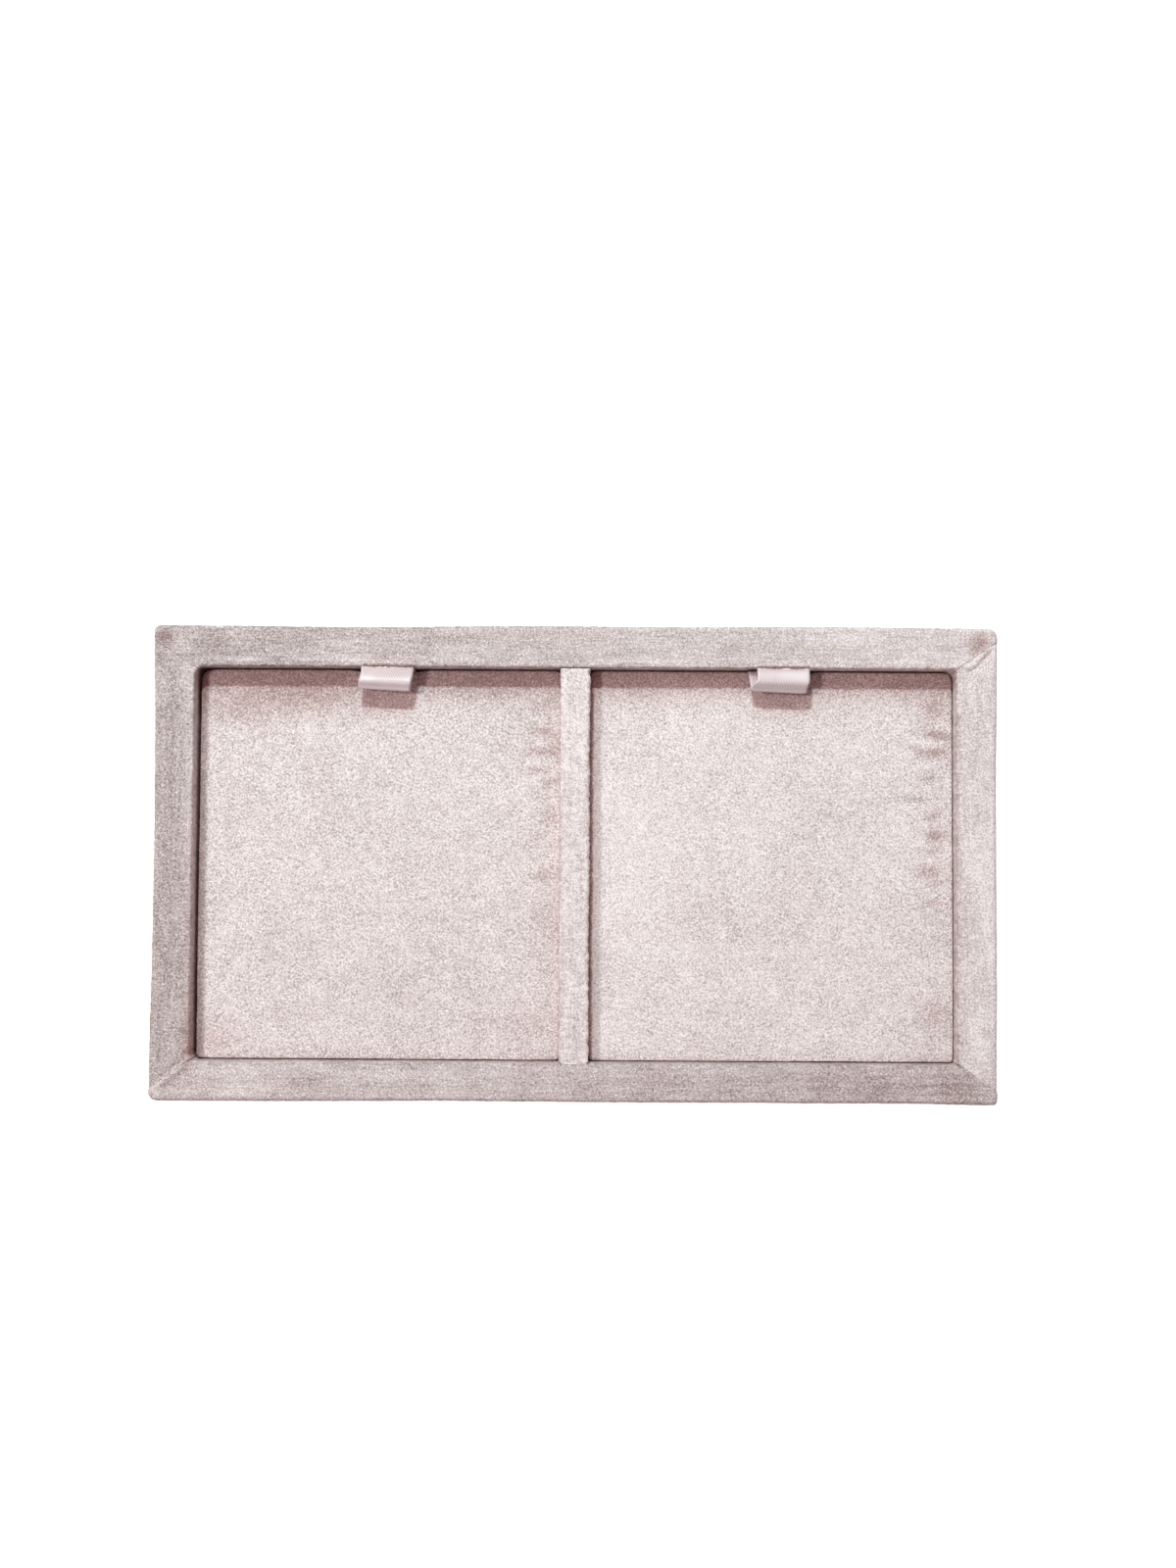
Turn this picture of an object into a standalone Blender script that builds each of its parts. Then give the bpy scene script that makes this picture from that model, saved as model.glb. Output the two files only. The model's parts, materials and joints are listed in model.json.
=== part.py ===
"""Velvet jewellery tray with two compartments, each with a pad that lifts out by a ribbon loop.

Metres, +Z up. The origin is the middle of the underside. +X runs along the tray's length, and +Y
points to the back, where the ribbon loops are.
"""

import math

import bmesh
import bpy

OBJECT_NAME = "compartment_tray"

# Tray outline
TRAY_LENGTH = 0.205
TRAY_DEPTH = 0.115
TRAY_HEIGHT = 0.020
OUTER_CORNER_RADIUS = 0.0020
OPENING_CORNER_RADIUS = 0.0010

# Velvet and the air that touching pieces keep
VELVET_THICKNESS = 0.0007
SEAT_GAP = 0.0003
SEAM_GAP = 0.0003

# Frame and partition
RAIL_WIDTH = 0.0096
DIVIDER_WIDTH = 0.0070
BASE_BOARD_THICKNESS = 0.0030
OUTER_EDGE_RADIUS = 0.0010
INNER_EDGE_RADIUS = 0.0014
BOARD_EDGE_RADIUS = 0.0004
TURNED_EDGE_WIDTH = 0.0060
SEAM_DROP = 0.0036

# Pads
PAD_RECESS = 0.0052
PAD_SIDE_GAP = 0.00045
PAD_CORNER_RADIUS = 0.0022
PAD_EDGE_RADIUS = 0.0016
PAD_CROWN = 0.0004
PAD_SIDE_BOW = 0.00025
PAD_SIDE_DRAW = 0.0003
PAD_BOTTOM_EDGE_RADIUS = 0.0009
PAD_TURNED_EDGE_WIDTH = 0.0080
PAD_BOARD_THICKNESS = 0.0020
PAD_BACKING_THICKNESS = 0.0015

# Ribbons
RIBBON_WIDTH = 0.0127
RIBBON_THICKNESS = 0.00025
RIBBON_END_LENGTH = 0.0140
RIBBON_BEND_RADIUS = 0.0006
LOOP_REACH = 0.0054
LOOP_HEIGHT = 0.0025
LOOP_ROOT_LENGTH = 0.0004
LOOP_HINGE_ELEVATION = math.radians(36)
LEFT_RIBBON_OFFSET = 0.0024
RIGHT_RIBBON_OFFSET = 0.0025
LEFT_RIBBON_SKEW = 0.0010
RIGHT_RIBBON_SKEW = 0.0020

# The loop's side view from its hinge, in shares of its reach (forwards) and its height: out
# along the upper layer, over the crease, round the fold and back along the lower layer.
LOOP_SIDE_SHARES = (
    (0.17, -0.03),
    (0.39, -0.01),
    (0.57, 0.10),
    (0.69, 0.19),
    (0.74, 0.18),
    (0.82, 0.04),
    (0.94, -0.30),
    (1.00, -0.54),
    (0.95, -0.72),
    (0.80, -0.80),
    (0.56, -0.82),
    (0.33, -0.74),
)

# Where a pad's crown has its rings, in shares of half the pad's depth
CROWN_RING_SHARES = (0.10, 0.24, 0.42, 0.64)

# Steps in each curve, and the edges that look sharp
CORNER_STEPS = 4
ROUNDING_STEPS = 4
SIDE_STEPS = 6
BEVEL_STEPS = 3
SPAN_STEPS = 3
SHARP_ANGLE = math.radians(40)

# Sizes worked out from those above
HALF_LENGTH = TRAY_LENGTH / 2
HALF_DEPTH = TRAY_DEPTH / 2
SKIN = VELVET_THICKNESS + SEAT_GAP
RAIL_BOARD_THICKNESS = RAIL_WIDTH - 2 * SKIN
DIVIDER_BOARD_THICKNESS = DIVIDER_WIDTH - 2 * SKIN
BASE_TOP = SKIN + BASE_BOARD_THICKNESS
FLOOR_BOTTOM = BASE_TOP + SEAT_GAP
FLOOR_TOP = FLOOR_BOTTOM + VELVET_THICKNESS
BOARD_TOP = TRAY_HEIGHT - SKIN
OPENING_HALF_LENGTH = HALF_LENGTH - RAIL_WIDTH
OPENING_HALF_DEPTH = HALF_DEPTH - RAIL_WIDTH
COMPARTMENT_LENGTH = OPENING_HALF_LENGTH - DIVIDER_WIDTH / 2
COMPARTMENT_CENTRE = (OPENING_HALF_LENGTH + DIVIDER_WIDTH / 2) / 2

DOUBLED_RIBBON = 2 * RIBBON_THICKNESS
PAD_BACK_GAP = DOUBLED_RIBBON + 2 * SEAT_GAP
PAD_FRONT = -OPENING_HALF_DEPTH + PAD_SIDE_GAP
PAD_BACK = OPENING_HALF_DEPTH - PAD_BACK_GAP
PAD_CENTRE_Y = (PAD_FRONT + PAD_BACK) / 2
PAD_HALF_LENGTH = COMPARTMENT_LENGTH / 2 - PAD_SIDE_GAP
PAD_HALF_DEPTH = (PAD_BACK - PAD_FRONT) / 2
PAD_TOP = TRAY_HEIGHT - PAD_RECESS
PAD_REST = FLOOR_TOP + SEAT_GAP
PAD_TURN_BOTTOM = PAD_REST + DOUBLED_RIBBON + SEAT_GAP
PAD_BOARD_BOTTOM = PAD_TURN_BOTTOM + SKIN
PAD_BOARD_TOP = PAD_BOARD_BOTTOM + PAD_BOARD_THICKNESS
PAD_FOAM_BOTTOM = PAD_BOARD_TOP + SEAT_GAP
PAD_SIDE_HEIGHT = PAD_TOP - PAD_EDGE_RADIUS - PAD_TURN_BOTTOM - PAD_BOTTOM_EDGE_RADIUS

# Each loop's hinge stands off the back rail's rounded edge by room for the loop's root to turn
LOOP_ROOT_RADIUS = math.hypot(LOOP_ROOT_LENGTH, RIBBON_THICKNESS / 2)
HINGE_STAND_OFF = INNER_EDGE_RADIUS + LOOP_ROOT_RADIUS + SEAT_GAP
EDGE_CENTRE_Y = OPENING_HALF_DEPTH + INNER_EDGE_RADIUS
EDGE_CENTRE_Z = TRAY_HEIGHT - INNER_EDGE_RADIUS
LOOP_AXIS_Y = EDGE_CENTRE_Y - HINGE_STAND_OFF * math.cos(LOOP_HINGE_ELEVATION)
LOOP_AXIS_Z = EDGE_CENTRE_Z + HINGE_STAND_OFF * math.sin(LOOP_HINGE_ELEVATION)
TAIL_Y = PAD_BACK + SEAT_GAP + RIBBON_THICKNESS
TAIL_TOP = LOOP_AXIS_Z - LOOP_ROOT_RADIUS - SEAT_GAP

# Base colours
VELVET_COLOUR = (0.74, 0.66, 0.65, 1.0)
PAD_COLOUR = (0.77, 0.69, 0.68, 1.0)
SATIN_COLOUR = (0.82, 0.71, 0.73, 1.0)
FIBREBOARD_COLOUR = (0.45, 0.33, 0.22, 1.0)
CARD_COLOUR = (0.55, 0.53, 0.50, 1.0)
FOAM_COLOUR = (0.85, 0.85, 0.82, 1.0)


def clear_scene():
    for item in list(bpy.data.objects):
        bpy.data.objects.remove(item, do_unlink=True)


def make_collection(name):
    collection = bpy.data.collections.new(name)
    bpy.context.scene.collection.children.link(collection)
    return collection


def make_material(name, colour, roughness):
    material = bpy.data.materials.new(name)
    material.use_nodes = True
    shader = material.node_tree.nodes["Principled BSDF"]
    shader.inputs["Base Color"].default_value = colour
    shader.inputs["Roughness"].default_value = roughness
    shader.inputs["Metallic"].default_value = 0.0
    material.diffuse_color = colour
    return material


def add_object(mesh_data, name, collection, colour, roughness, parent=None):
    """Turn a bmesh into a named object with its own material, placed under its parent."""
    mesh = bpy.data.meshes.new(name)
    mesh_data.to_mesh(mesh)
    mesh_data.free()
    mesh.shade_smooth()
    mesh.set_sharp_from_angle(angle=SHARP_ANGLE)
    mesh.materials.append(make_material(name, colour, roughness))
    item = bpy.data.objects.new(name, mesh)
    item.parent = parent
    collection.objects.link(item)
    return item


def add_empty(name, collection, location, parent=None):
    """An empty on a joint's axis, which carries the pieces that move with it."""
    empty = bpy.data.objects.new(name, None)
    empty.location = location
    empty.parent = parent
    collection.objects.link(empty)
    return empty


def thicken(item, thickness, offset):
    """Give an open surface its thickness: offset -1 is behind the surface, 0 on both sides."""
    solidify = item.modifiers.new("thickness", "SOLIDIFY")
    solidify.thickness = thickness
    solidify.offset = offset
    solidify.use_even_offset = True


def board(low, high, corner_radius=0.0, edge_radius=0.0):
    """A box between two corners, its upright edges and then its other edges rounded."""
    mesh_data = bmesh.new()
    bmesh.ops.create_cube(mesh_data, size=1)
    size = [high[axis] - low[axis] for axis in range(3)]
    middle = [(high[axis] + low[axis]) / 2 for axis in range(3)]
    bmesh.ops.scale(mesh_data, vec=size, verts=mesh_data.verts)
    bmesh.ops.translate(mesh_data, vec=middle, verts=mesh_data.verts)
    if corner_radius:
        upright = [edge for edge in mesh_data.edges if is_upright(edge)]
        bevel_edges(mesh_data, upright, corner_radius, CORNER_STEPS)
    if edge_radius:
        bevel_edges(mesh_data, rim_edges(mesh_data), edge_radius, BEVEL_STEPS)
    return mesh_data


def is_upright(edge):
    first, second = (vert.co for vert in edge.verts)
    return abs(first.z - second.z) > max(abs(first.x - second.x), abs(first.y - second.y))


def rim_edges(mesh_data):
    """The edges round the top and bottom faces."""
    flat = [face for face in mesh_data.faces if abs(face.normal.z) > math.cos(math.radians(30))]
    return list({edge for face in flat for edge in face.edges})


def bevel_edges(mesh_data, edges, radius, steps):
    bmesh.ops.bevel(
        mesh_data,
        geom=edges,
        offset=radius,
        offset_type="OFFSET",
        segments=steps,
        profile=0.5,
        affect="EDGES",
    )


def rounding(centre_inset, centre_z, radius, start, end):
    """Section points (inset, height) on a quarter of a rounded edge, by its angles in degrees."""
    points = []
    for step in range(ROUNDING_STEPS + 1):
        angle = math.radians(start + (end - start) * step / ROUNDING_STEPS)
        points.append((centre_inset + radius * math.cos(angle), centre_z + radius * math.sin(angle)))
    return points


def outline(half_length, half_depth, corner_radius, side_bow=0.0, side_steps=1):
    """A rounded rectangle, anticlockwise, its sides drawn in by side_bow at their middles."""
    corners = []
    for quarter, (sign_x, sign_y) in enumerate(((1, 1), (-1, 1), (-1, -1), (1, -1))):
        centre_x = sign_x * (half_length - corner_radius)
        centre_y = sign_y * (half_depth - corner_radius)
        arc = []
        for step in range(CORNER_STEPS + 1):
            angle = math.radians(90 * (quarter + step / CORNER_STEPS))
            x = centre_x + corner_radius * math.cos(angle)
            y = centre_y + corner_radius * math.sin(angle)
            arc.append((x, y))
        corners.append(arc)
    points = []
    inwards = ((0, -1), (1, 0), (0, 1), (-1, 0))
    for quarter, (arc, inward) in enumerate(zip(corners, inwards)):
        points.extend(arc)
        start = arc[-1]
        end = corners[(quarter + 1) % len(corners)][0]
        for step in range(1, side_steps):
            share = step / side_steps
            bow = side_bow * 4 * share * (1 - share)
            x = start[0] + (end[0] - start[0]) * share + inward[0] * bow
            y = start[1] + (end[1] - start[1]) * share + inward[1] * bow
            points.append((x, y))
    return points


def loft(rings, cap_first=False, cap_last=False):
    """Join each outline to the next with quads. A ring is a list of points and its height."""
    mesh_data = bmesh.new()
    loops = [[mesh_data.verts.new((x, y, height)) for x, y in points] for points, height in rings]
    for lower, upper in zip(loops, loops[1:]):
        for i in range(len(lower)):
            mesh_data.faces.new((lower[i - 1], lower[i], upper[i], upper[i - 1]))
    if cap_first:
        mesh_data.faces.new(loops[0])
    if cap_last:
        mesh_data.faces.new(loops[-1])
    face_outwards(mesh_data)
    return mesh_data


def face_outwards(mesh_data):
    """Point every face away from the piece, judged by its highest face."""
    bmesh.ops.recalc_face_normals(mesh_data, faces=mesh_data.faces)
    highest = max(mesh_data.faces, key=lambda face: face.calc_center_median().z)
    if highest.normal.z < 0:
        bmesh.ops.reverse_faces(mesh_data, faces=mesh_data.faces)


def frame_skin():
    """The outer face of the velvet round the whole frame, before the corner seams are cut."""
    section = [(TURNED_EDGE_WIDTH, 0)]
    section += rounding(OUTER_EDGE_RADIUS, OUTER_EDGE_RADIUS, OUTER_EDGE_RADIUS, 270, 180)
    section += rounding(OUTER_EDGE_RADIUS, TRAY_HEIGHT - OUTER_EDGE_RADIUS, OUTER_EDGE_RADIUS, 180, 90)
    inner_centre = RAIL_WIDTH - INNER_EDGE_RADIUS
    section += rounding(inner_centre, TRAY_HEIGHT - INNER_EDGE_RADIUS, INNER_EDGE_RADIUS, 90, 0)
    section.append((RAIL_WIDTH, FLOOR_BOTTOM))
    rings = []
    for inset, height in section:
        share = inset / RAIL_WIDTH
        radius = OUTER_CORNER_RADIUS + (OPENING_CORNER_RADIUS - OUTER_CORNER_RADIUS) * share
        rings.append((outline(HALF_LENGTH - inset, HALF_DEPTH - inset, radius), height))
    return loft(rings)


def cut_by_plane(mesh_data, point, normal):
    """Keep what lies behind an upright plane."""
    bmesh.ops.bisect_plane(
        mesh_data,
        geom=mesh_data.verts[:] + mesh_data.edges[:] + mesh_data.faces[:],
        plane_co=point,
        plane_no=normal,
        clear_outer=True,
    )


def seam_plane(sign_x, sign_y, keep_end):
    """The upright plane of one corner's seam, shifted by half the seam's gap.

    The seam runs from the opening's corner to a point on the outer side, SEAM_DROP from the
    corner. Its normal points out of the front or back strip if keep_end, else out of the left
    or right strip.
    """
    rise = RAIL_WIDTH - SEAM_DROP
    length = math.hypot(RAIL_WIDTH, rise)
    direction = 1 if keep_end else -1
    normal = (direction * sign_x * rise / length, -direction * sign_y * RAIL_WIDTH / length, 0)
    x = sign_x * OPENING_HALF_LENGTH - normal[0] * SEAM_GAP / 2
    y = sign_y * OPENING_HALF_DEPTH - normal[1] * SEAM_GAP / 2
    return (x, y, 0), normal


def rail_velvet(name, collection, side):
    """One side's strip of the frame's velvet, cut at its two corner seams."""
    mesh_data = frame_skin()
    if side in ("front", "back"):
        sign_y = 1 if side == "back" else -1
        corners = [(-1, sign_y), (1, sign_y)]
    else:
        sign_x = 1 if side == "right" else -1
        corners = [(sign_x, -1), (sign_x, 1)]
    for corner in corners:
        point, normal = seam_plane(corner[0], corner[1], side in ("front", "back"))
        cut_by_plane(mesh_data, point, normal)
    item = add_object(mesh_data, name, collection, VELVET_COLOUR, 0.9)
    thicken(item, VELVET_THICKNESS, -1)
    return item


def build_boards(collection):
    """The fibreboard under the velvet: a floor, four sides glued on it and the partition."""
    board_corner = OUTER_CORNER_RADIUS - SKIN
    outer_x = HALF_LENGTH - SKIN
    outer_y = HALF_DEPTH - SKIN
    base = board((-outer_x, -outer_y, SKIN), (outer_x, outer_y, BASE_TOP), board_corner)
    add_object(base, "base_board", collection, FIBREBOARD_COLOUR, 0.8)
    inner_y = outer_y - RAIL_BOARD_THICKNESS
    for side, sign in (("front", -1), ("back", 1)):
        low = (-outer_x, min(sign * outer_y, sign * inner_y), FLOOR_BOTTOM)
        high = (outer_x, max(sign * outer_y, sign * inner_y), BOARD_TOP)
        rail = board(low, high, board_corner, BOARD_EDGE_RADIUS)
        add_object(rail, side + "_rail_board", collection, FIBREBOARD_COLOUR, 0.8)
    inner_x = outer_x - RAIL_BOARD_THICKNESS
    end_y = inner_y - SEAT_GAP
    for side, sign in (("left", -1), ("right", 1)):
        low = (min(sign * outer_x, sign * inner_x), -end_y, FLOOR_BOTTOM)
        high = (max(sign * outer_x, sign * inner_x), end_y, BOARD_TOP)
        rail = board(low, high, 0.0, BOARD_EDGE_RADIUS)
        add_object(rail, side + "_rail_board", collection, FIBREBOARD_COLOUR, 0.8)
    half_width = DIVIDER_BOARD_THICKNESS / 2
    divider_end = OPENING_HALF_DEPTH - SEAT_GAP - SKIN
    low = (-half_width, -divider_end, FLOOR_BOTTOM)
    high = (half_width, divider_end, BOARD_TOP)
    divider = board(low, high, 0.0, BOARD_EDGE_RADIUS)
    add_object(divider, "divider_board", collection, FIBREBOARD_COLOUR, 0.8)


def build_divider_velvet(collection):
    """Velvet over the partition: open below, its top edges rounded."""
    half_width = DIVIDER_WIDTH / 2
    half_run = OPENING_HALF_DEPTH - SEAT_GAP
    section = [(0, FLOOR_BOTTOM)]
    section += rounding(INNER_EDGE_RADIUS, TRAY_HEIGHT - INNER_EDGE_RADIUS, INNER_EDGE_RADIUS, 180, 90)
    rings = []
    for inset, height in section:
        radius = max(OPENING_CORNER_RADIUS - inset / 2, OPENING_CORNER_RADIUS / 4)
        rings.append((outline(half_width - inset, half_run - inset, radius), height))
    item = add_object(loft(rings, cap_last=True), "divider_velvet", collection, VELVET_COLOUR, 0.9)
    thicken(item, VELVET_THICKNESS, -1)


def build_linings(collection):
    """The velvet on the floor of each compartment and the card under the tray."""
    for side, sign in (("left", -1), ("right", 1)):
        half_x = COMPARTMENT_LENGTH / 2 - SEAT_GAP
        half_y = OPENING_HALF_DEPTH - SEAT_GAP
        middle = sign * COMPARTMENT_CENTRE
        low = (middle - half_x, -half_y, FLOOR_BOTTOM)
        high = (middle + half_x, half_y, FLOOR_TOP)
        lining = board(low, high, OPENING_CORNER_RADIUS)
        add_object(lining, side + "_floor_lining", collection, VELVET_COLOUR, 0.9)
    panel_x = HALF_LENGTH - TURNED_EDGE_WIDTH - SEAT_GAP
    panel_y = HALF_DEPTH - TURNED_EDGE_WIDTH - SEAT_GAP
    panel = board((-panel_x, -panel_y, 0), (panel_x, panel_y, VELVET_THICKNESS), OUTER_CORNER_RADIUS)
    add_object(panel, "underside_panel", collection, CARD_COLOUR, 0.95)


def build_tray(collection):
    build_boards(collection)
    for side in ("front", "back", "left", "right"):
        rail_velvet(side + "_rail_velvet", collection, side)
    build_divider_velvet(collection)
    build_linings(collection)


def pad_ring(inset, height, skin):
    """A pad's outline at a height, drawn in towards the bottom and set in by skin."""
    side_top = PAD_TOP - PAD_EDGE_RADIUS
    below = min(max((side_top - height) / PAD_SIDE_HEIGHT, 0), 1)
    total = inset + skin + PAD_SIDE_DRAW * below
    radius = max(PAD_CORNER_RADIUS - total, PAD_CORNER_RADIUS / 4)
    half_x = PAD_HALF_LENGTH - total
    half_y = PAD_HALF_DEPTH - total
    return outline(half_x, half_y, radius, PAD_SIDE_BOW, SIDE_STEPS), height


def pad_top_rings(skin):
    """The rounded upper edge and the crown of a pad's velvet, or of the foam a skin below it."""
    edge_radius = PAD_EDGE_RADIUS - skin
    rings = []
    for inset, height in rounding(edge_radius, PAD_TOP - PAD_EDGE_RADIUS, edge_radius, 180, 90):
        rings.append(pad_ring(inset, height, skin))
    for share in CROWN_RING_SHARES:
        inset = edge_radius + (PAD_HALF_DEPTH - PAD_EDGE_RADIUS) * share
        rise = PAD_CROWN * math.sin(math.pi / 2 * share / CROWN_RING_SHARES[-1])
        rings.append(pad_ring(inset, PAD_TOP - skin + rise, skin))
    return rings


def pad_cover_surface():
    """The outer face of a pad's velvet: crown, sides and the edge turned under the board."""
    section = [(PAD_TURNED_EDGE_WIDTH, PAD_TURN_BOTTOM)]
    bottom_centre = PAD_TURN_BOTTOM + PAD_BOTTOM_EDGE_RADIUS
    section += rounding(PAD_BOTTOM_EDGE_RADIUS, bottom_centre, PAD_BOTTOM_EDGE_RADIUS, 270, 180)
    rings = [pad_ring(inset, height, 0) for inset, height in section]
    return loft(rings + pad_top_rings(0), cap_last=True)


def pad_foam_solid():
    """The foam: the cover's inside, less the gap that touching pieces keep."""
    rings = [pad_ring(0, PAD_FOAM_BOTTOM, SKIN)]
    return loft(rings + pad_top_rings(SKIN), cap_first=True, cap_last=True)


def plate_in_pad(inset, bottom, thickness):
    """A card or board with rounded corners, set in from the pad's sides."""
    half_x = PAD_HALF_LENGTH - inset
    half_y = PAD_HALF_DEPTH - inset
    return board((-half_x, -half_y, bottom), (half_x, half_y, bottom + thickness), PAD_CORNER_RADIUS / 2)


def cut_notch(item, ribbon_offset, cutters):
    """Cut the slot in a pad's backing that the ribbon's end lies in."""
    half_x = RIBBON_WIDTH / 2 + SEAT_GAP
    far_y = PAD_HALF_DEPTH - RIBBON_END_LENGTH - SEAT_GAP
    low = (ribbon_offset - half_x, far_y, PAD_REST - PAD_BACKING_THICKNESS)
    high = (ribbon_offset + half_x, PAD_HALF_DEPTH, PAD_REST + 2 * PAD_BACKING_THICKNESS)
    cutter = add_object(board(low, high), item.name + "_notch", cutters, CARD_COLOUR, 0.9, item.parent)
    cutter.hide_render = True
    cutter.display_type = "WIRE"
    notch = item.modifiers.new("notch", "BOOLEAN")
    notch.operation = "DIFFERENCE"
    notch.solver = "EXACT"
    notch.object = cutter


def ribbon_strip(path, width, skew):
    """An open strip along a path of (y, z) points, which slides sideways by skew on its way."""
    mesh_data = bmesh.new()
    last = len(path) - 1
    verts = []
    for step, (y, z) in enumerate(path):
        verts.append(mesh_data.verts.new((-width / 2 - skew * step / last, y, z)))
    edges = [mesh_data.edges.new(pair) for pair in zip(verts, verts[1:])]
    strip = bmesh.ops.extrude_edge_only(mesh_data, edges=edges)
    moved = [part for part in strip["geom"] if isinstance(part, bmesh.types.BMVert)]
    bmesh.ops.translate(mesh_data, vec=(width, 0, 0), verts=moved)
    bmesh.ops.recalc_face_normals(mesh_data, faces=mesh_data.faces)
    return mesh_data


def tail_path():
    """From the ribbon's end under the pad, round its lower back edge and up behind it."""
    under_z = PAD_REST + RIBBON_THICKNESS
    corner_y = TAIL_Y - RIBBON_BEND_RADIUS
    corner_z = under_z + RIBBON_BEND_RADIUS
    path = [(PAD_BACK - RIBBON_END_LENGTH, under_z)]
    for step in range(ROUNDING_STEPS + 1):
        angle = math.radians(-90 + 90 * step / ROUNDING_STEPS)
        y = corner_y + RIBBON_BEND_RADIUS * math.cos(angle)
        z = corner_z + RIBBON_BEND_RADIUS * math.sin(angle)
        path.append((y, z))
    path.append((TAIL_Y, TAIL_TOP))
    return path


def loop_path():
    """The loop's middle line about its hinge, from its root over the top and back to the tail."""
    tail_front = TAIL_Y - RIBBON_THICKNESS
    end_y = tail_front - SEAT_GAP - RIBBON_THICKNESS / 2 - LOOP_AXIS_Y
    end_z = TAIL_TOP - DOUBLED_RIBBON - LOOP_AXIS_Z
    points = [(LOOP_ROOT_LENGTH, 0)]
    points += [(-along * LOOP_REACH, up * LOOP_HEIGHT) for along, up in LOOP_SIDE_SHARES]
    points.append((end_y, end_z))
    return smooth_through(points)


def smooth_through(points):
    """A smooth curve through all the points, with SPAN_STEPS steps from each to the next."""
    padded = [points[0]] + points + [points[-1]]
    path = []
    for before, start, end, after in zip(padded, padded[1:], padded[2:], padded[3:]):
        for step in range(SPAN_STEPS):
            share = step / SPAN_STEPS
            path.append(tuple(catmull_rom(*axis, share) for axis in zip(before, start, end, after)))
    path.append(points[-1])
    return path


def catmull_rom(before, start, end, after, share):
    """The curve's value at a share of the way from start to end."""
    slope = (end - before) * share
    bend = (2 * before - 5 * start + 4 * end - after) * share**2
    turn = (3 * start - before - 3 * end + after) * share**3
    return start + (slope + bend + turn) / 2


def build_ribbon(side, offset, skew, pad, collection):
    """The pull ribbon: its tail, fixed to the pad, and its loop on a hinge at the rim."""
    glued = add_empty(side + "_ribbon_place", collection, (offset, -PAD_CENTRE_Y, 0), pad)
    tail_strip = ribbon_strip(tail_path(), RIBBON_WIDTH, 0)
    tail = add_object(tail_strip, side + "_ribbon_tail", collection, SATIN_COLOUR, 0.4, glued)
    thicken(tail, DOUBLED_RIBBON, 0)
    hinge = add_empty(side + "_loop_hinge", collection, (0, LOOP_AXIS_Y, LOOP_AXIS_Z), glued)
    loop_strip = ribbon_strip(loop_path(), RIBBON_WIDTH, skew)
    loop = add_object(loop_strip, side + "_ribbon_loop", collection, SATIN_COLOUR, 0.4, hinge)
    thicken(loop, RIBBON_THICKNESS, 0)


def build_pad(side, sign, ribbon_offset, ribbon_skew, collection, cutters):
    """One lift-out pad and its ribbon, under an empty at the middle of its compartment."""
    pad = add_empty(side + "_pad", collection, (sign * COMPARTMENT_CENTRE, PAD_CENTRE_Y, 0))
    cover = add_object(pad_cover_surface(), side + "_pad_cover", collection, PAD_COLOUR, 0.9, pad)
    thicken(cover, VELVET_THICKNESS, -1)
    add_object(pad_foam_solid(), side + "_pad_foam", collection, FOAM_COLOUR, 0.9, pad)
    board_inset = SKIN + PAD_SIDE_DRAW + PAD_SIDE_BOW
    stiffener = plate_in_pad(board_inset, PAD_BOARD_BOTTOM, PAD_BOARD_THICKNESS)
    add_object(stiffener, side + "_pad_board", collection, FIBREBOARD_COLOUR, 0.8, pad)
    backing_inset = PAD_TURNED_EDGE_WIDTH + PAD_SIDE_DRAW + PAD_SIDE_BOW + SEAT_GAP
    backing_card = plate_in_pad(backing_inset, PAD_REST, PAD_BACKING_THICKNESS)
    backing = add_object(backing_card, side + "_pad_backing", collection, CARD_COLOUR, 0.95, pad)
    cut_notch(backing, ribbon_offset, cutters)
    build_ribbon(side, ribbon_offset, ribbon_skew, pad, collection)


def main():
    clear_scene()
    collection = make_collection(OBJECT_NAME)
    cutters = make_collection("cutters")
    build_tray(collection)
    build_pad("left", -1, LEFT_RIBBON_OFFSET, LEFT_RIBBON_SKEW, collection, cutters)
    build_pad("right", 1, RIGHT_RIBBON_OFFSET, RIGHT_RIBBON_SKEW, collection, cutters)


main()
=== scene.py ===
"""Looks of the velvet compartment tray: its pile, pads, ribbons, boards and card.

Metres, +Z up. +X runs along the tray, and +Y points to the back, where the ribbon loops are. Each
velvet piece starts as a flat grid, as the cloth was cut, and is folded round what it covers.
"""

from __future__ import annotations

import functools
import itertools
import json
import logging
import math
from dataclasses import dataclass
from enum import Enum
from typing import Any, Callable, Sequence

import bmesh
import bpy
import numpy as np
from mathutils import Euler, Matrix, Vector


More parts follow.
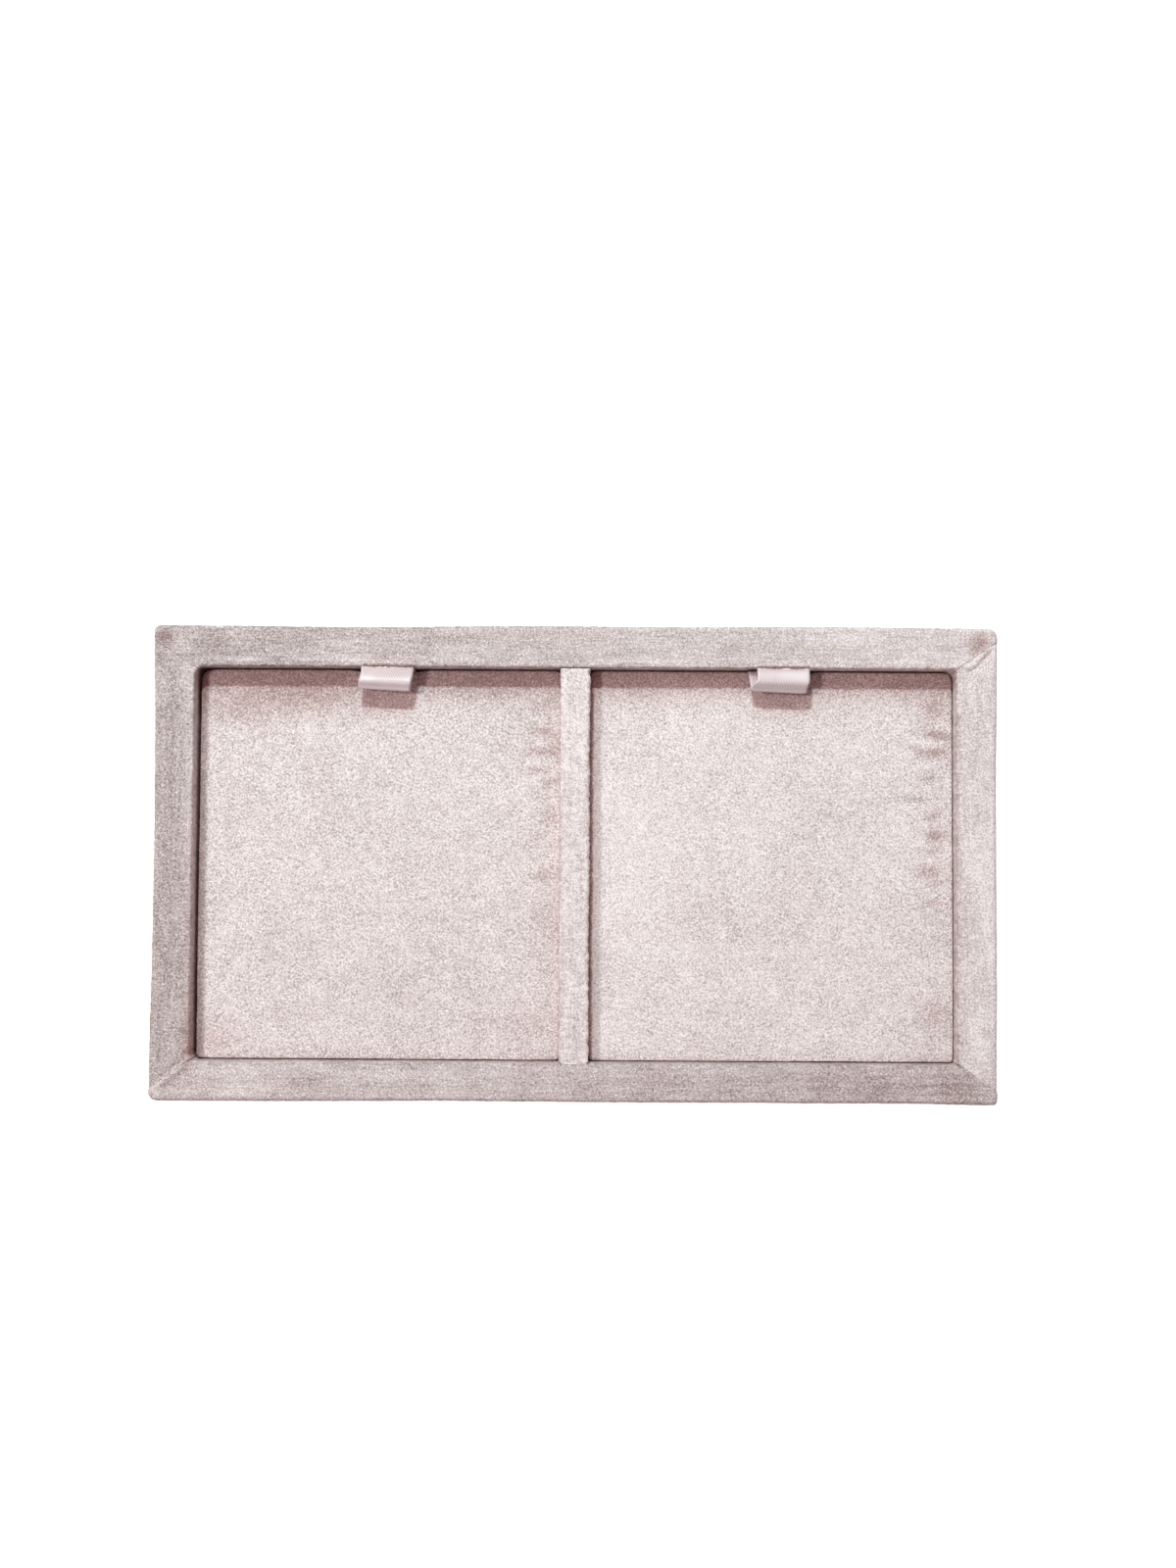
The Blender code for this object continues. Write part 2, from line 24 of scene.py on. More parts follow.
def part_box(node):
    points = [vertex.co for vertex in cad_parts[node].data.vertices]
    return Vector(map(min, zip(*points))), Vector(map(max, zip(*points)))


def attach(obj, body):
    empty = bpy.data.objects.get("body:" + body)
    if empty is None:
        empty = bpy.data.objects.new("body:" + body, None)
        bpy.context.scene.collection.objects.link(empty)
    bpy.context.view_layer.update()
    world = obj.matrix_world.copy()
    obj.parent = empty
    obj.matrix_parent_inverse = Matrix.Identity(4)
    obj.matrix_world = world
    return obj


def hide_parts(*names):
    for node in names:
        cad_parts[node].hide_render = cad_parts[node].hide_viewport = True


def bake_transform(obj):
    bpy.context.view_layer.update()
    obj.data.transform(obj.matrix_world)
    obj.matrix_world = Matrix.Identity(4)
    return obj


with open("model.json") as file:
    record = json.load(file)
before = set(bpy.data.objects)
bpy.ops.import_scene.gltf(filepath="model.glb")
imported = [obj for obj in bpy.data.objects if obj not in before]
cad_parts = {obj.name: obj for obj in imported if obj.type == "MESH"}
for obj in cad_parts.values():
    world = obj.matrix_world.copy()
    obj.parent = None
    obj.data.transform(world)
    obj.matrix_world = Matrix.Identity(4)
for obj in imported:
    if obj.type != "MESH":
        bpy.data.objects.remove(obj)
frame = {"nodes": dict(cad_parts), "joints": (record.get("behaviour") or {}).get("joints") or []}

LOG = logging.getLogger("compartment_tray")
MM = 0.001

Place = Callable[[np.ndarray, np.ndarray], np.ndarray]
Colour = tuple[float, float, float, float]
Point = tuple[float, float]
Size = tuple[float, float, float]
Mesh = bpy.types.Mesh
Object = bpy.types.Object
Tree = bpy.types.NodeTree
Socket = bpy.types.NodeSocket


class Side(Enum):
    """A side of the frame, by its outward direction seen from above."""

    FRONT = (0, -1)
    RIGHT = (1, 0)
    BACK = (0, 1)
    LEFT = (-1, 0)

    @property
    def outward(self) -> np.ndarray:
        """The direction that the side faces."""
        return np.array(self.value, float)

    @property
    def along(self) -> np.ndarray:
        """The direction that runs along the side, anticlockwise round the tray."""
        return np.array((-self.value[1], self.value[0]), float)

    @property
    def is_long(self) -> bool:
        """Whether this is the front or the back."""
        return self.value[0] == 0


class Slot(Enum):
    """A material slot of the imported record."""

    RAIL_VELVET = "rail_velvet"
    PAD_VELVET = "pad_velvet"
    SATIN = "ribbon_satin"


def linear(code: str) -> Colour:
    """Turns six hex sRGB digits into linear red, green and blue and an alpha of 1."""
    levels = [int(code[start : start + 2], 16) / 255 for start in (0, 2, 4)]
    red, green, blue = (
        level / 12.92 if level <= 0.04045 else ((level + 0.055) / 1.055) ** 2.4
        for level in levels
    )
    return red, green, blue, 1.0


def add_object(name: str, data: bpy.types.ID) -> Object:
    """Makes an object of a mesh, a lamp or a camera and links it to the scene."""
    made = bpy.data.objects.new(name, data)
    bpy.context.scene.collection.objects.link(made)
    return made


def add_node(
    tree: Tree,
    kind: str,
    settings: dict[str | int, Any] | None = None,
    links: dict[str | int, Socket] | None = None,
) -> bpy.types.Node:
    """Adds a node with its settings and links.

    Args:
        tree: the node tree that it goes into.
        kind: the node's type name.
        settings: properties by name, and input values by name or number.
        links: the socket that feeds each input.

    Returns:
        The new node.
    """
    node = tree.nodes.new(kind)
    for key, value in (settings or {}).items():
        if isinstance(key, str) and hasattr(node, key):
            setattr(node, key, value)
        else:
            node.inputs[key].default_value = value
    for key, socket in (links or {}).items():
        tree.links.new(socket, node.inputs[key])
    return node


def add_math(
    tree: Tree, operation: str, links: dict[int, Socket], second: float = 0.5, clamp: bool = False
) -> Socket:
    """Adds a Math node.

    Args:
        tree: the node tree that it goes into.
        operation: what it does.
        links: the socket that feeds each input.
        second: the second value, where no socket feeds it.
        clamp: whether the result is kept from 0 to 1.

    Returns:
        The result.
    """
    settings = {"operation": operation, "use_clamp": clamp, 1: second}
    return add_node(tree, "ShaderNodeMath", settings, links).outputs["Value"]


class Surface:
    """A material under construction: its node tree and its Principled shader."""

    NOISE_ROUGHNESS = 0.6

    def __init__(self, name: str) -> None:
        """Starts a material with nothing before its shader."""
        self.material = bpy.data.materials.new(name)
        self.material.use_nodes = True
        self.tree = self.material.node_tree
        self.shader = self.tree.nodes["Principled BSDF"]

    def place(self) -> Socket:
        """Object coordinates, in metres."""
        return add_node(self.tree, "ShaderNodeTexCoord").outputs["Object"]

    def attribute(self, name: str) -> Socket:
        """One of the mesh's attributes."""
        return add_node(self.tree, "ShaderNodeAttribute", {"attribute_name": name}).outputs["Fac"]

    def noise(self, at: Socket, cell: Size, detail: float, turn: Size = (0.0, 0.0, 0.0)) -> Socket:
        """Adds a noise whose cells have a real size along each axis.

        Args:
            at: Object coordinates in metres, or a UV map in metres.
            cell: the cell's size along X, Y and Z, in metres.
            detail: how many finer layers it has.
            turn: how the noise is turned, in radians, so that no flat top lies in its planes.

        Returns:
            The noise's value, from 0 to 1.
        """
        settings = {"Scale": [1 / size for size in cell], "Rotation": turn}
        mapping = add_node(self.tree, "ShaderNodeMapping", settings, {"Vector": at})
        settings = {"Scale": 1.0, "Detail": detail, "Roughness": self.NOISE_ROUGHNESS}
        links = {"Vector": mapping.outputs["Vector"]}
        return add_node(self.tree, "ShaderNodeTexNoise", settings, links).outputs["Fac"]

    def varied(self, start: Socket, layers: Sequence[tuple[Socket, float]]) -> Socket:
        """Adds noises, each centred on zero and times its weight, to a value.

        Args:
            start: the value that the noises vary.
            layers: each noise and its weight.

        Returns:
            The sum, kept from 0 to 1.
        """
        total = start
        for noise, weight in layers:
            total = add_math(self.tree, "MULTIPLY_ADD", {0: noise, 2: total}, weight)
        centre = sum(weight for _, weight in layers) / 2
        return add_math(self.tree, "SUBTRACT", {0: total}, centre, clamp=True)

    def ramp(self, value: Socket, stops: Sequence[tuple[float, str]]) -> Socket:
        """Adds a colour ramp.

        Args:
            value: what picks the colour, from 0 to 1.
            stops: each stop's place and its hex sRGB colour, in rising order.

        Returns:
            The ramp's colour.
        """
        ramp = add_node(self.tree, "ShaderNodeValToRGB", {}, {"Fac": value})
        elements = ramp.color_ramp.elements
        while len(elements) < len(stops):
            elements.new(0.5)
        for element, (position, code) in zip(elements, stops):
            element.position = position
            element.color = linear(code)
        return ramp.outputs["Color"]

    def finished(
        self, colour: Socket, height: Socket, bump: Point, levels: dict[str, float | Colour]
    ) -> bpy.types.Material:
        """Gives the shader its colour, its relief and its plain values.

        Args:
            colour: the base colour.
            height: what the relief follows, from 0 to 1.
            bump: the relief's strength, and its depth in metres.
            levels: the shader's plain values by the names of its sockets.

        Returns:
            The material.
        """
        settings = {"Strength": bump[0], "Distance": bump[1]}
        relief = add_node(self.tree, "ShaderNodeBump", settings, {"Height": height})
        self.tree.links.new(colour, self.shader.inputs["Base Color"])
        self.tree.links.new(relief.outputs["Normal"], self.shader.inputs["Normal"])
        for name, level in levels.items():
            self.shader.inputs[name].default_value = level
        return self.material


@dataclass(frozen=True)
class VelvetFinish:
    """Polyester velvet with a short cut pile, crushed a little in handling.

    The eye sees tufts that shine at their tips, patches that are pale or dark by which way the
    pile lies, and a warm blush where the pile opens and its ground shows. The tips' shine is a
    painted glint, and the blush also stands for warm painted shade in the recesses and gaps.

    Attributes:
        name: the material's name.
        stops: the pile's colour from brushed away from the light to its shining tips.
        streak: the size of a brushed streak along X, Y and Z, in metres.
        grain: how strongly the tufts vary.
        streaks: how strongly the brushed streaks show.
        painted_glint: how much paler the tips are painted, a painted glint of tips that catch the light.
        sheen: the pile's gleam at grazing angles.
    """

    name: str
    stops: tuple[tuple[float, str], ...]
    streak: Size
    grain: float
    streaks: float
    painted_glint: float
    sheen: float

    # Tufts of a 0.5 mm pile, at the size that the eye picks out, and patches of them
    TUFT = 0.46 * MM
    TIP = 0.34 * MM
    MOTTLE = 3.2 * MM
    MOTTLING = 0.3
    TURN = (0.6, 0.45, 0.3)
    # The noise's values between which a tip goes from dull to its full painted glint
    GLINT_RANGE = {"From Min": 0.58, "From Max": 0.74}
    # The pile's warm ground, which the blush multiplies in; where it darkens recesses and gaps it is
    # painted shade
    GROUND_AND_SHADE_TINT = "DBA59E"
    SHEEN_TINT = "FFF6F3"

    def material(self) -> bpy.types.Material:
        """Makes the material, which reads the nap and blush attributes of the mesh."""
        surface = Surface(self.name)
        tree, place, nap = surface.tree, surface.place(), surface.attribute("nap")
        tufts = surface.noise(place, (self.TUFT,) * 3, 2, self.TURN)
        mottle = surface.noise(place, (self.MOTTLE,) * 3, 2, self.TURN)
        streak = surface.noise(place, self.streak, 1)
        layers = ((tufts, self.grain), (mottle, self.MOTTLING), (streak, self.streaks))
        shade = surface.varied(nap, layers)
        # A painted glint: random tips made paler in the colour, as if they caught the light
        tips = add_node(
            tree,
            "ShaderNodeMapRange",
            {**self.GLINT_RANGE, "To Max": self.painted_glint},
            {"Value": surface.noise(place, (self.TIP,) * 3, 0, self.TURN)},
        )
        bright = add_math(tree, "ADD", {0: shade, 1: tips.outputs["Result"]}, clamp=True)
        colour = surface.ramp(bright, self.stops)
        warmed = add_node(
            tree,
            "ShaderNodeMix",
            {"data_type": "RGBA", "blend_type": "MULTIPLY", 7: linear(self.GROUND_AND_SHADE_TINT)},
            {0: surface.attribute("blush"), 6: colour},
        )
        levels = {
            "Roughness": 0.95,
            "Specular IOR Level": 0.05,
            "Sheen Weight": self.sheen,
            "Sheen Roughness": 0.5,
            "Sheen Tint": linear(self.SHEEN_TINT),
        }
        return surface.finished(warmed.outputs[2], tufts, (0.7, 0.16 * MM), levels)


@dataclass(frozen=True)
class SatinFinish:
    """Polyester satin ribbon: long floats of bright yarn with a fine diagonal binding.

    The eye sees a soft streak of light across each fold and faint slanting lines.

    Attributes:
        name: the material's name.
        face: the ribbon's colour where it faces the light.
        binding: the colour in the fine slanting lines.
    """

    name: str
    face: str
    binding: str

    # The binding's lines are finer than this on the real ribbon, and drawn this far apart to show
    LINE_SPACING = 0.5 * MM
    LINE_ANGLE = math.radians(35)
    LINES = {"bands_direction": "X", "Scale": 0.31, "Distortion": 0.6, "Detail": 1.0}
    YARN = (0.15 * MM, 2.5 * MM, 1.0)

    def material(self) -> bpy.types.Material:
        """Makes the material, whose pattern follows the ribbon's UV map, in metres."""
        surface = Surface(self.name)
        flat = add_node(surface.tree, "ShaderNodeUVMap", {"uv_map": "ribbon"}).outputs["UV"]
        settings = {"Rotation": (0, 0, self.LINE_ANGLE), "Scale": (1 / self.LINE_SPACING,) * 3}
        turned = add_node(surface.tree, "ShaderNodeMapping", settings, {"Vector": flat})
        links = {"Vector": turned.outputs["Vector"]}
        lines = add_node(surface.tree, "ShaderNodeTexWave", self.LINES, links).outputs["Fac"]
        shade = surface.varied(lines, ((surface.noise(flat, self.YARN, 1), 0.5),))
        colour = surface.ramp(shade, ((0.0, self.binding), (0.55, self.face), (1.0, self.face)))
        levels = {
            "Roughness": 0.36,
            "Specular IOR Level": 0.9,
            "Anisotropic": 0.5,
            "Sheen Weight": 0.15,
        }
        return surface.finished(colour, lines, (0.25, 0.03 * MM), levels)


@dataclass(frozen=True)
class PressedFinish:
    """Pressed fibre, as in fibreboard or grey card: matt, with fine fibres and flecks.

    Attributes:
        name: the material's name.
        dark: the fibres' colour in the hollows.
        body: the sheet's colour.
        light: the palest fibres.
        fibre: a fibre's size along X, Y and Z, in metres.
        relief: how deep the fibres stand, in metres.
    """

    name: str
    dark: str
    body: str
    light: str
    fibre: Size
    relief: float

    FLECK = 1.1 * MM

    def material(self) -> bpy.types.Material:
        """Makes the material from Object coordinates."""
        surface = Surface(self.name)
        place = surface.place()
        fibres = surface.noise(place, self.fibre, 4)
        flecks = surface.noise(place, (self.FLECK,) * 3, 2)
        shade = surface.varied(fibres, ((flecks, 0.6),))
        colour = surface.ramp(shade, ((0.2, self.dark), (0.5, self.body), (0.8, self.light)))
        levels = {"Roughness": 0.9, "Specular IOR Level": 0.2}
        return surface.finished(colour, fibres, (0.4, self.relief), levels)


# From greyish pink between the tufts to nearly white at their tips
RAIL_STOPS = ((0.0, "918583"), (0.25, "B7ABA9"), (0.5, "CBC0BE"), (0.75, "DCD2D0"), (1.0, "F6EEEC"))
PAD_STOPS = ((0.0, "ABA09E"), (0.25, "CABFBD"), (0.5, "E0D6D4"), (0.8, "F2E9E7"), (1.0, "FEF9F8"))
# The frame's pile is brushed along each rail, so its streaks run along X or along Y
LONG_STREAK = (7 * MM, 0.45 * MM, 0.8 * MM)
SHORT_STREAK = (0.45 * MM, 7 * MM, 0.8 * MM)
PAD_STREAK = (1.2 * MM, 1.2 * MM, 1.2 * MM)
LONG_RAIL = VelvetFinish("velvet_long_rails", RAIL_STOPS, LONG_STREAK, 1.9, 0.55, 0.42, 0.2)
SHORT_RAIL = VelvetFinish("velvet_short_rails", RAIL_STOPS, SHORT_STREAK, 2.0, 0.45, 0.42, 0.2)
PAD_VELVET = VelvetFinish("velvet_pads", PAD_STOPS, PAD_STREAK, 2.5, 0.3, 0.4, 0.15)
SATIN = SatinFinish("satin_ribbon", "D7C7C9", "C3B2B5")
FIBREBOARD = PressedFinish(
    "fibreboard", "6F573F", "9C7F60", "BCA283", (2.2 * MM, 0.25 * MM, 0.3 * MM), 0.05 * MM
)
CARD = PressedFinish(
    "grey_card", "9B9791", "B8B4AD", "D0CCC6", (0.7 * MM, 0.2 * MM, 0.2 * MM), 0.02 * MM
)


@functools.cache
def material_of(finish: VelvetFinish | SatinFinish | PressedFinish) -> bpy.types.Material:
    """The finish's material, made when it is first asked for."""
    return finish.material()


def grid_mesh(name: str, columns: int, rows: int, size: float) -> Mesh:
    """A flat square grid of the given half size round the origin, with faces along X and Y."""
    grid = bmesh.new()
    bmesh.ops.create_grid(grid, x_segments=columns, y_segments=rows, size=size)
    mesh = bpy.data.meshes.new(name)
    grid.to_mesh(mesh)
    grid.free()
    return mesh


def read_points(mesh: Mesh, field: str = "co") -> np.ndarray:
    """Reads a mesh's points, or with field "normal" its point normals, as rows."""
    values = np.empty(len(mesh.vertices) * 3)
    mesh.vertices.foreach_get(field, values)
    return values.reshape(-1, 3)


def write_points(mesh: Mesh, points: np.ndarray) -> None:
    """Writes a mesh's points from rows."""
    mesh.vertices.foreach_set("co", points.astype(np.float32).ravel())
    mesh.update()


def store_nap_and_shading(mesh: Mesh, nap: np.ndarray, blush: np.ndarray) -> None:
    """Stores how the pile lies at each point, painted highlights and painted shade included.

    Args:
        mesh: the velvet.
        nap: how pale or dark it lies, 0.5 being as it mostly lies, painted shade and light in it.
        blush: how far its warm ground shows, and warm painted shade in recesses and gaps, from 0 to 1.
    """
    for name, values in (("nap", nap), ("blush", blush)):
        attribute = mesh.attributes.new(name, "FLOAT", "POINT")
        attribute.data.foreach_set("value", np.clip(values, 0, 1).astype(np.float32))


def fade(distance: np.ndarray, reach: float, power: int = 2) -> np.ndarray:
    """One at no distance and fading to nothing past the reach, more suddenly at a higher power."""
    return np.exp(-((distance / reach) ** power))


def ease(share: np.ndarray) -> np.ndarray:
    """Makes an even rise from 0 to 1 a smooth one."""
    return share * share * (3 - 2 * share)


def step_lengths(points: np.ndarray) -> np.ndarray:
    """How far it is from each point of a line to the next."""
    return np.hypot(*np.diff(points, axis=0).T)


# How many values the noise has along each axis before it repeats
LATTICE = 64


def smooth_noise(points: np.ndarray, cell: Sequence[float] | float, seed: int) -> np.ndarray:
    """Noise that varies smoothly from cell to cell.

    Args:
        points: rows of X, Y and Z, in metres.
        cell: the cell's size, one for all axes or one for each, in metres.
        seed: picks the pattern.

    Returns:
        A value from -1 to 1 for each point.
    """
    lattice = np.random.default_rng(seed).uniform(-1, 1, (LATTICE,) * 3)
    scaled = points / np.broadcast_to(np.asarray(cell, float), (3,))
    low = np.floor(scaled)
    share = ease(scaled - low)
    total = np.zeros(len(points))
    for corner in itertools.product((0, 1), repeat=3):
        index = (low.astype(int) + corner) % LATTICE
        weight = np.prod(np.where(corner, share, 1 - share), axis=1)
        total += weight * lattice[index[:, 0], index[:, 1], index[:, 2]]
    return total


# Tufts of the pile, clumps of tufts and the cloth's slack: the cell and the height of each
PILE_LAYERS = ((0.8 * MM, 0.045 * MM), (2.6 * MM, 0.05 * MM), (13 * MM, 0.07 * MM))


def pile_relief(points: np.ndarray, seed: int) -> np.ndarray:
    """How far the pile stands out or lies flat at each point, in metres.

    Args:
        points: rows of X, Y and Z, in metres.
        seed: picks the pattern.

    Returns:
        The heights.
    """
    layers = enumerate(PILE_LAYERS)
    return sum(height * smooth_noise(points, cell, seed + step) for step, (cell, height) in layers)


def smooth_through(places: np.ndarray, values: np.ndarray, wanted: np.ndarray) -> np.ndarray:
    """Reads a smooth curve through values at rising places.

    Args:
        places: where the values are.
        values: the values.
        wanted: the places to read.

    Returns:
        The curve's values there.
    """
    slopes = np.gradient(values, places)
    index = np.clip(np.searchsorted(places, wanted, side="right") - 1, 0, len(places) - 2)
    width = places[index + 1] - places[index]
    share = (wanted - places[index]) / width
    square, cube = share**2, share**3
    return (
        (2 * cube - 3 * square + 1) * values[index]
        + (cube - 2 * square + share) * width * slopes[index]
        + (3 * square - 2 * cube) * values[index + 1]
        + (cube - square) * width * slopes[index + 1]
    )


@dataclass(frozen=True)
class NapAndShadingPatch:
    """A patch of pressed or brushed pile, or of painted light or shade, as the photograph shows it.

    Attributes:
        x: its middle along the tray, in mm.
        y: its middle across the tray, in mm.
        half_x: half its size along the tray, in mm.
        half_y: half its size across the tray, in mm.
        shade: how much paler, or if negative darker, the pile is there.
        blush: how much warmer it is there: its ground showing, or warm painted shade.
        turn: how far its long axis is turned, anticlockwise in degrees.
    """

    x: float
    y: float
    half_x: float
    half_y: float
    shade: float
    blush: float = 0.0
    turn: float = 0.0

    # The pattern, the cell and the strength of the noise that frays its edge
    FRAYED = (77, 1.3 * MM, 0.35)

    def at(self, points: np.ndarray) -> np.ndarray:
        """The patch's strength at each point, 1 in its middle and fading out from there."""
        angle = math.radians(self.turn)
        across = points[:, :2] / MM - (self.x, self.y)
        run_x = across[:, 0] * math.cos(angle) + across[:, 1] * math.sin(angle)
        run_y = across[:, 1] * math.cos(angle) - across[:, 0] * math.sin(angle)
        seed, cell, strength = self.FRAYED
        ragged = 1 + strength * smooth_noise(points, cell, seed)
        return fade(np.hypot(run_x / self.half_x, run_y / self.half_y) * ragged, 1)


@dataclass(frozen=True)
class Crease:
    """A fold, a ridge or a seam line in the velvet, with a painted highlight or painted shade along it.

    Attributes:
        points: the line from end to end, X and Y in mm.
        height: how high it stands, or if negative how deep it is, in mm.
        width: how wide it is on each side, in mm.
        shade: how much paler the pile is along it, a painted highlight, or if negative darker, painted
            shade.
        blush: how much more of the pile's warm ground shows along it, as warm painted shade.
    """

    points: tuple[Point, ...]
    height: float
    width: float
    shade: float
    blush: float = 0.0

    def at(self, points: np.ndarray) -> np.ndarray:
        """The crease's strength at each point seen from above, 1 on its line."""
        flat = points[:, :2] / MM
        nearest = np.full(len(points), np.inf)
        for start, end in zip(self.points, self.points[1:]):
            way = np.subtract(end, start)
            share = np.clip((flat - start) @ way / (way @ way), 0, 1)
            gap = flat - start - share[:, None] * way
            nearest = np.minimum(nearest, np.hypot(gap[:, 0], gap[:, 1]))
        return fade(nearest, self.width)


# Each row has a patch's values in the order of its attributes
RAIL_PATCHES = [
    NapAndShadingPatch(*values)
    for values in (
        (-99.9, 54.8, 1.5, 1.2, -0.42, 0.35), (-100.2, 51.0, 1.1, 3.2, -0.16, 0.05),
        (-86.8, 53.5, 2.8, 2.2, -0.14, 0.06), (-78.0, 55.4, 3.0, 0.9, -0.12, 0.08),
        (-35.0, 54.0, 16.0, 2.6, -0.05), (37.0, 52.2, 2.4, 1.2, -0.16, 0.10),
        (97.8, 54.0, 2.0, 2.3, -0.40, 0.34, -20), (99.5, 54.4, 0.8, 1.9, -0.10, 0.35, -10),
        # Rows at Y 49.4 to 49.5 mm here and below: a painted highlight of pile tips catching the light
        (95.5, 50.6, 2.0, 1.2, 0.10), (-79.0, 49.4, 4.0, 0.34, 0.50), (-66.0, 49.5, 4.5, 0.30, 0.42),
        (-54.0, 49.4, 4.0, 0.30, 0.34), (-24.0, 49.5, 8.0, 0.30, 0.24), (18.0, 49.4, 9.0, 0.30, 0.24),
        # Rows at X -93.0 and -92.9 mm here and below: warm, dark painted shade on the left rail's shaded
        # inner wall
        (76.0, 49.4, 9.0, 0.30, 0.24), (-93.0, -40.0, 1.35, 9.5, -0.14, 0.30),
        (-92.9, -46.0, 1.3, 2.2, -0.10, 0.25), (-93.2, -20.0, 1.0, 17.0, -0.06, 0.10),
        (-94.2, 22.0, 0.8, 26.0, 0.12), (-65.8, -53.2, 3.6, 0.8, -0.22, 0.0, 8),
        (-80.0, -51.5, 9.0, 3.0, 0.07), (-47.0, -51.0, 5.0, 1.6, 0.08),
        (20.0, -52.8, 24.0, 3.2, -0.08, 0.08), (72.0, -52.8, 22.0, 3.4, -0.14, 0.14),
        (92.5, -53.4, 5.0, 3.2, -0.18, 0.14), (-98.0, -20.0, 3.0, 40.0, -0.10, 0.03),
        (-98.0, 20.0, 3.0, 26.0, -0.04), (99.0, 0.0, 3.0, 48.0, 0.12),
    )
]
PAD_PATCHES = [
    NapAndShadingPatch(*values)
    for values in (
        (-69.0, 40.3, 15.0, 4.0, -0.22, 0.24), (-83.0, 36.5, 7.0, 3.0, -0.16, 0.16, -12),
        (-8.2, 39.0, 3.0, 1.3, -0.14, 0.12), (-19.5, 41.5, 2.0, 1.3, -0.16, 0.12),
        (-7.6, 32.6, 3.4, 1.1, -0.26, 0.26, -6), (-8.4, 27.6, 4.0, 1.0, -0.20, 0.20),
        (-4.9, 28.8, 1.4, 2.6, -0.14, 0.20), (-17.0, 28.8, 2.0, 1.2, -0.12, 0.10),
        (-10.8, 25.0, 3.0, 0.7, 0.16), (-9.5, 23.1, 2.4, 0.8, -0.22, 0.18),
        (-10.9, 20.0, 3.2, 0.9, 0.18, 0.0, -8), (-6.2, 20.1, 2.0, 1.1, -0.22, 0.20, 20),
        (-6.0, 11.4, 2.3, 2.2, -0.14, 0.14), (-8.4, 6.4, 2.6, 1.8, -0.13, 0.12, 15),
        (-7.6, -2.4, 3.4, 1.9, -0.16, 0.14), (-7.0, -14.0, 3.0, 5.0, -0.08, 0.08),
        (-12.0, -39.0, 9.0, 3.2, -0.07, 0.10), (87.4, 38.2, 2.6, 3.0, -0.19, 0.20),
        (88.6, 34.4, 2.0, 0.8, 0.17), (88.8, 32.2, 3.0, 0.95, -0.43, 0.37, -5),
        (85.4, 30.2, 3.4, 0.7, 0.26), (88.1, 27.8, 3.4, 1.1, -0.41, 0.33, 3),
        (83.7, 28.8, 1.6, 0.8, -0.22, 0.22), (87.8, 24.7, 2.6, 0.8, 0.22),
        (86.4, 21.3, 2.2, 0.8, -0.26, 0.15), (84.4, 16.3, 4.2, 0.75, -0.24, 0.11),
        (82.6, 14.5, 2.4, 0.6, 0.19), (87.4, 12.2, 2.0, 1.4, -0.26, 0.22),
        (88.5, 7.5, 2.9, 1.4, -0.34, 0.31), (87.0, 3.6, 3.4, 0.9, -0.19, 0.15),
        (87.0, -1.5, 3.4, 2.0, -0.22, 0.24, -10), (88.0, -9.0, 2.6, 1.2, -0.12, 0.12),
        (88.0, -36.0, 4.0, 3.6, -0.16, 0.14), (-88.0, -42.5, 4.5, 3.4, -0.06, 0.22),
        (-64.0, 24.0, 5.0, 3.0, -0.08, 0.03, 40), (-72.0, -24.0, 6.0, 4.0, -0.06, 0.0, 20),
        (60.0, 12.0, 6.0, 4.0, -0.06, 0.0, -25), (30.0, -14.0, 9.0, 5.0, -0.06, 0.0, 15),
        (14.0, 0.0, 11.0, 34.0, 0.06),
    )
]
FRONT_LEFT_RIDGE = ((-92.8, -47.6), (-94.5, -49.3), (-100.2, -53.6), (-101.2, -54.8))
BACK_RIGHT_RIDGE = (
    (96.0, 48.6), (97.2, 49.3), (98.4, 50.8), (99.5, 51.8), (100.3, 52.8), (100.5, 54.4), (100.6, 55.8),
)
BACK_RIGHT_VALLEY = (
    (95.8, 47.4), (96.6, 47.7), (97.7, 48.5), (98.9, 49.9), (100.1, 51.1), (100.8, 52.0),
)
# Where the pile of the back rail's edge is pushed up behind the ribbons, with a painted contact shadow
# along it
RIBBON_RIDGES_AND_SHADOWS = (((-51.6, 48.24), (-39.4, 48.24)), ((44.8, 48.36), (56.8, 48.36)))
# Each crease has real relief; its paler pile is a painted highlight, its darker, warmer pile painted shade
CREASES = (
    Crease(FRONT_LEFT_RIDGE, 0.26, 0.75, 0.13),
    Crease(((-93.4, -50.1), (-97.3, -53.6), (-98.6, -55.2)), -0.16, 0.8, -0.12, 0.08),
    Crease(((-95.2, -48.2), (-99.9, -51.8)), -0.12, 0.6, -0.09, 0.10),
    Crease(BACK_RIGHT_RIDGE, 0.13, 0.40, 0.07),
    Crease(BACK_RIGHT_VALLEY, -0.24, 0.30, -0.34, 0.12),
    Crease(((93.6, 48.9), (95.6, 48.3)), 0.18, 0.5, 0.08),
    *(Crease(line, 0.44, 0.28, -0.28, 0.42) for line in RIBBON_RIDGES_AND_SHADOWS),
    Crease(((-92.9, 47.9), (-97.0, 51.4), (-102.0, 54.2)), -0.10, 0.60, -0.05),
    Crease(((92.9, -47.9), (97.4, -51.9), (102.2, -54.4)), -0.14, 0.50, -0.12, 0.08),
    Crease(((94.2, -48.4), (98.6, -52.4), (102.2, -54.9)), 0.12, 0.60, 0.16),
    Crease(((95.0, -51.5), (97.0, -54.0), (98.2, -57.0)), -0.08, 0.70, -0.06),
)


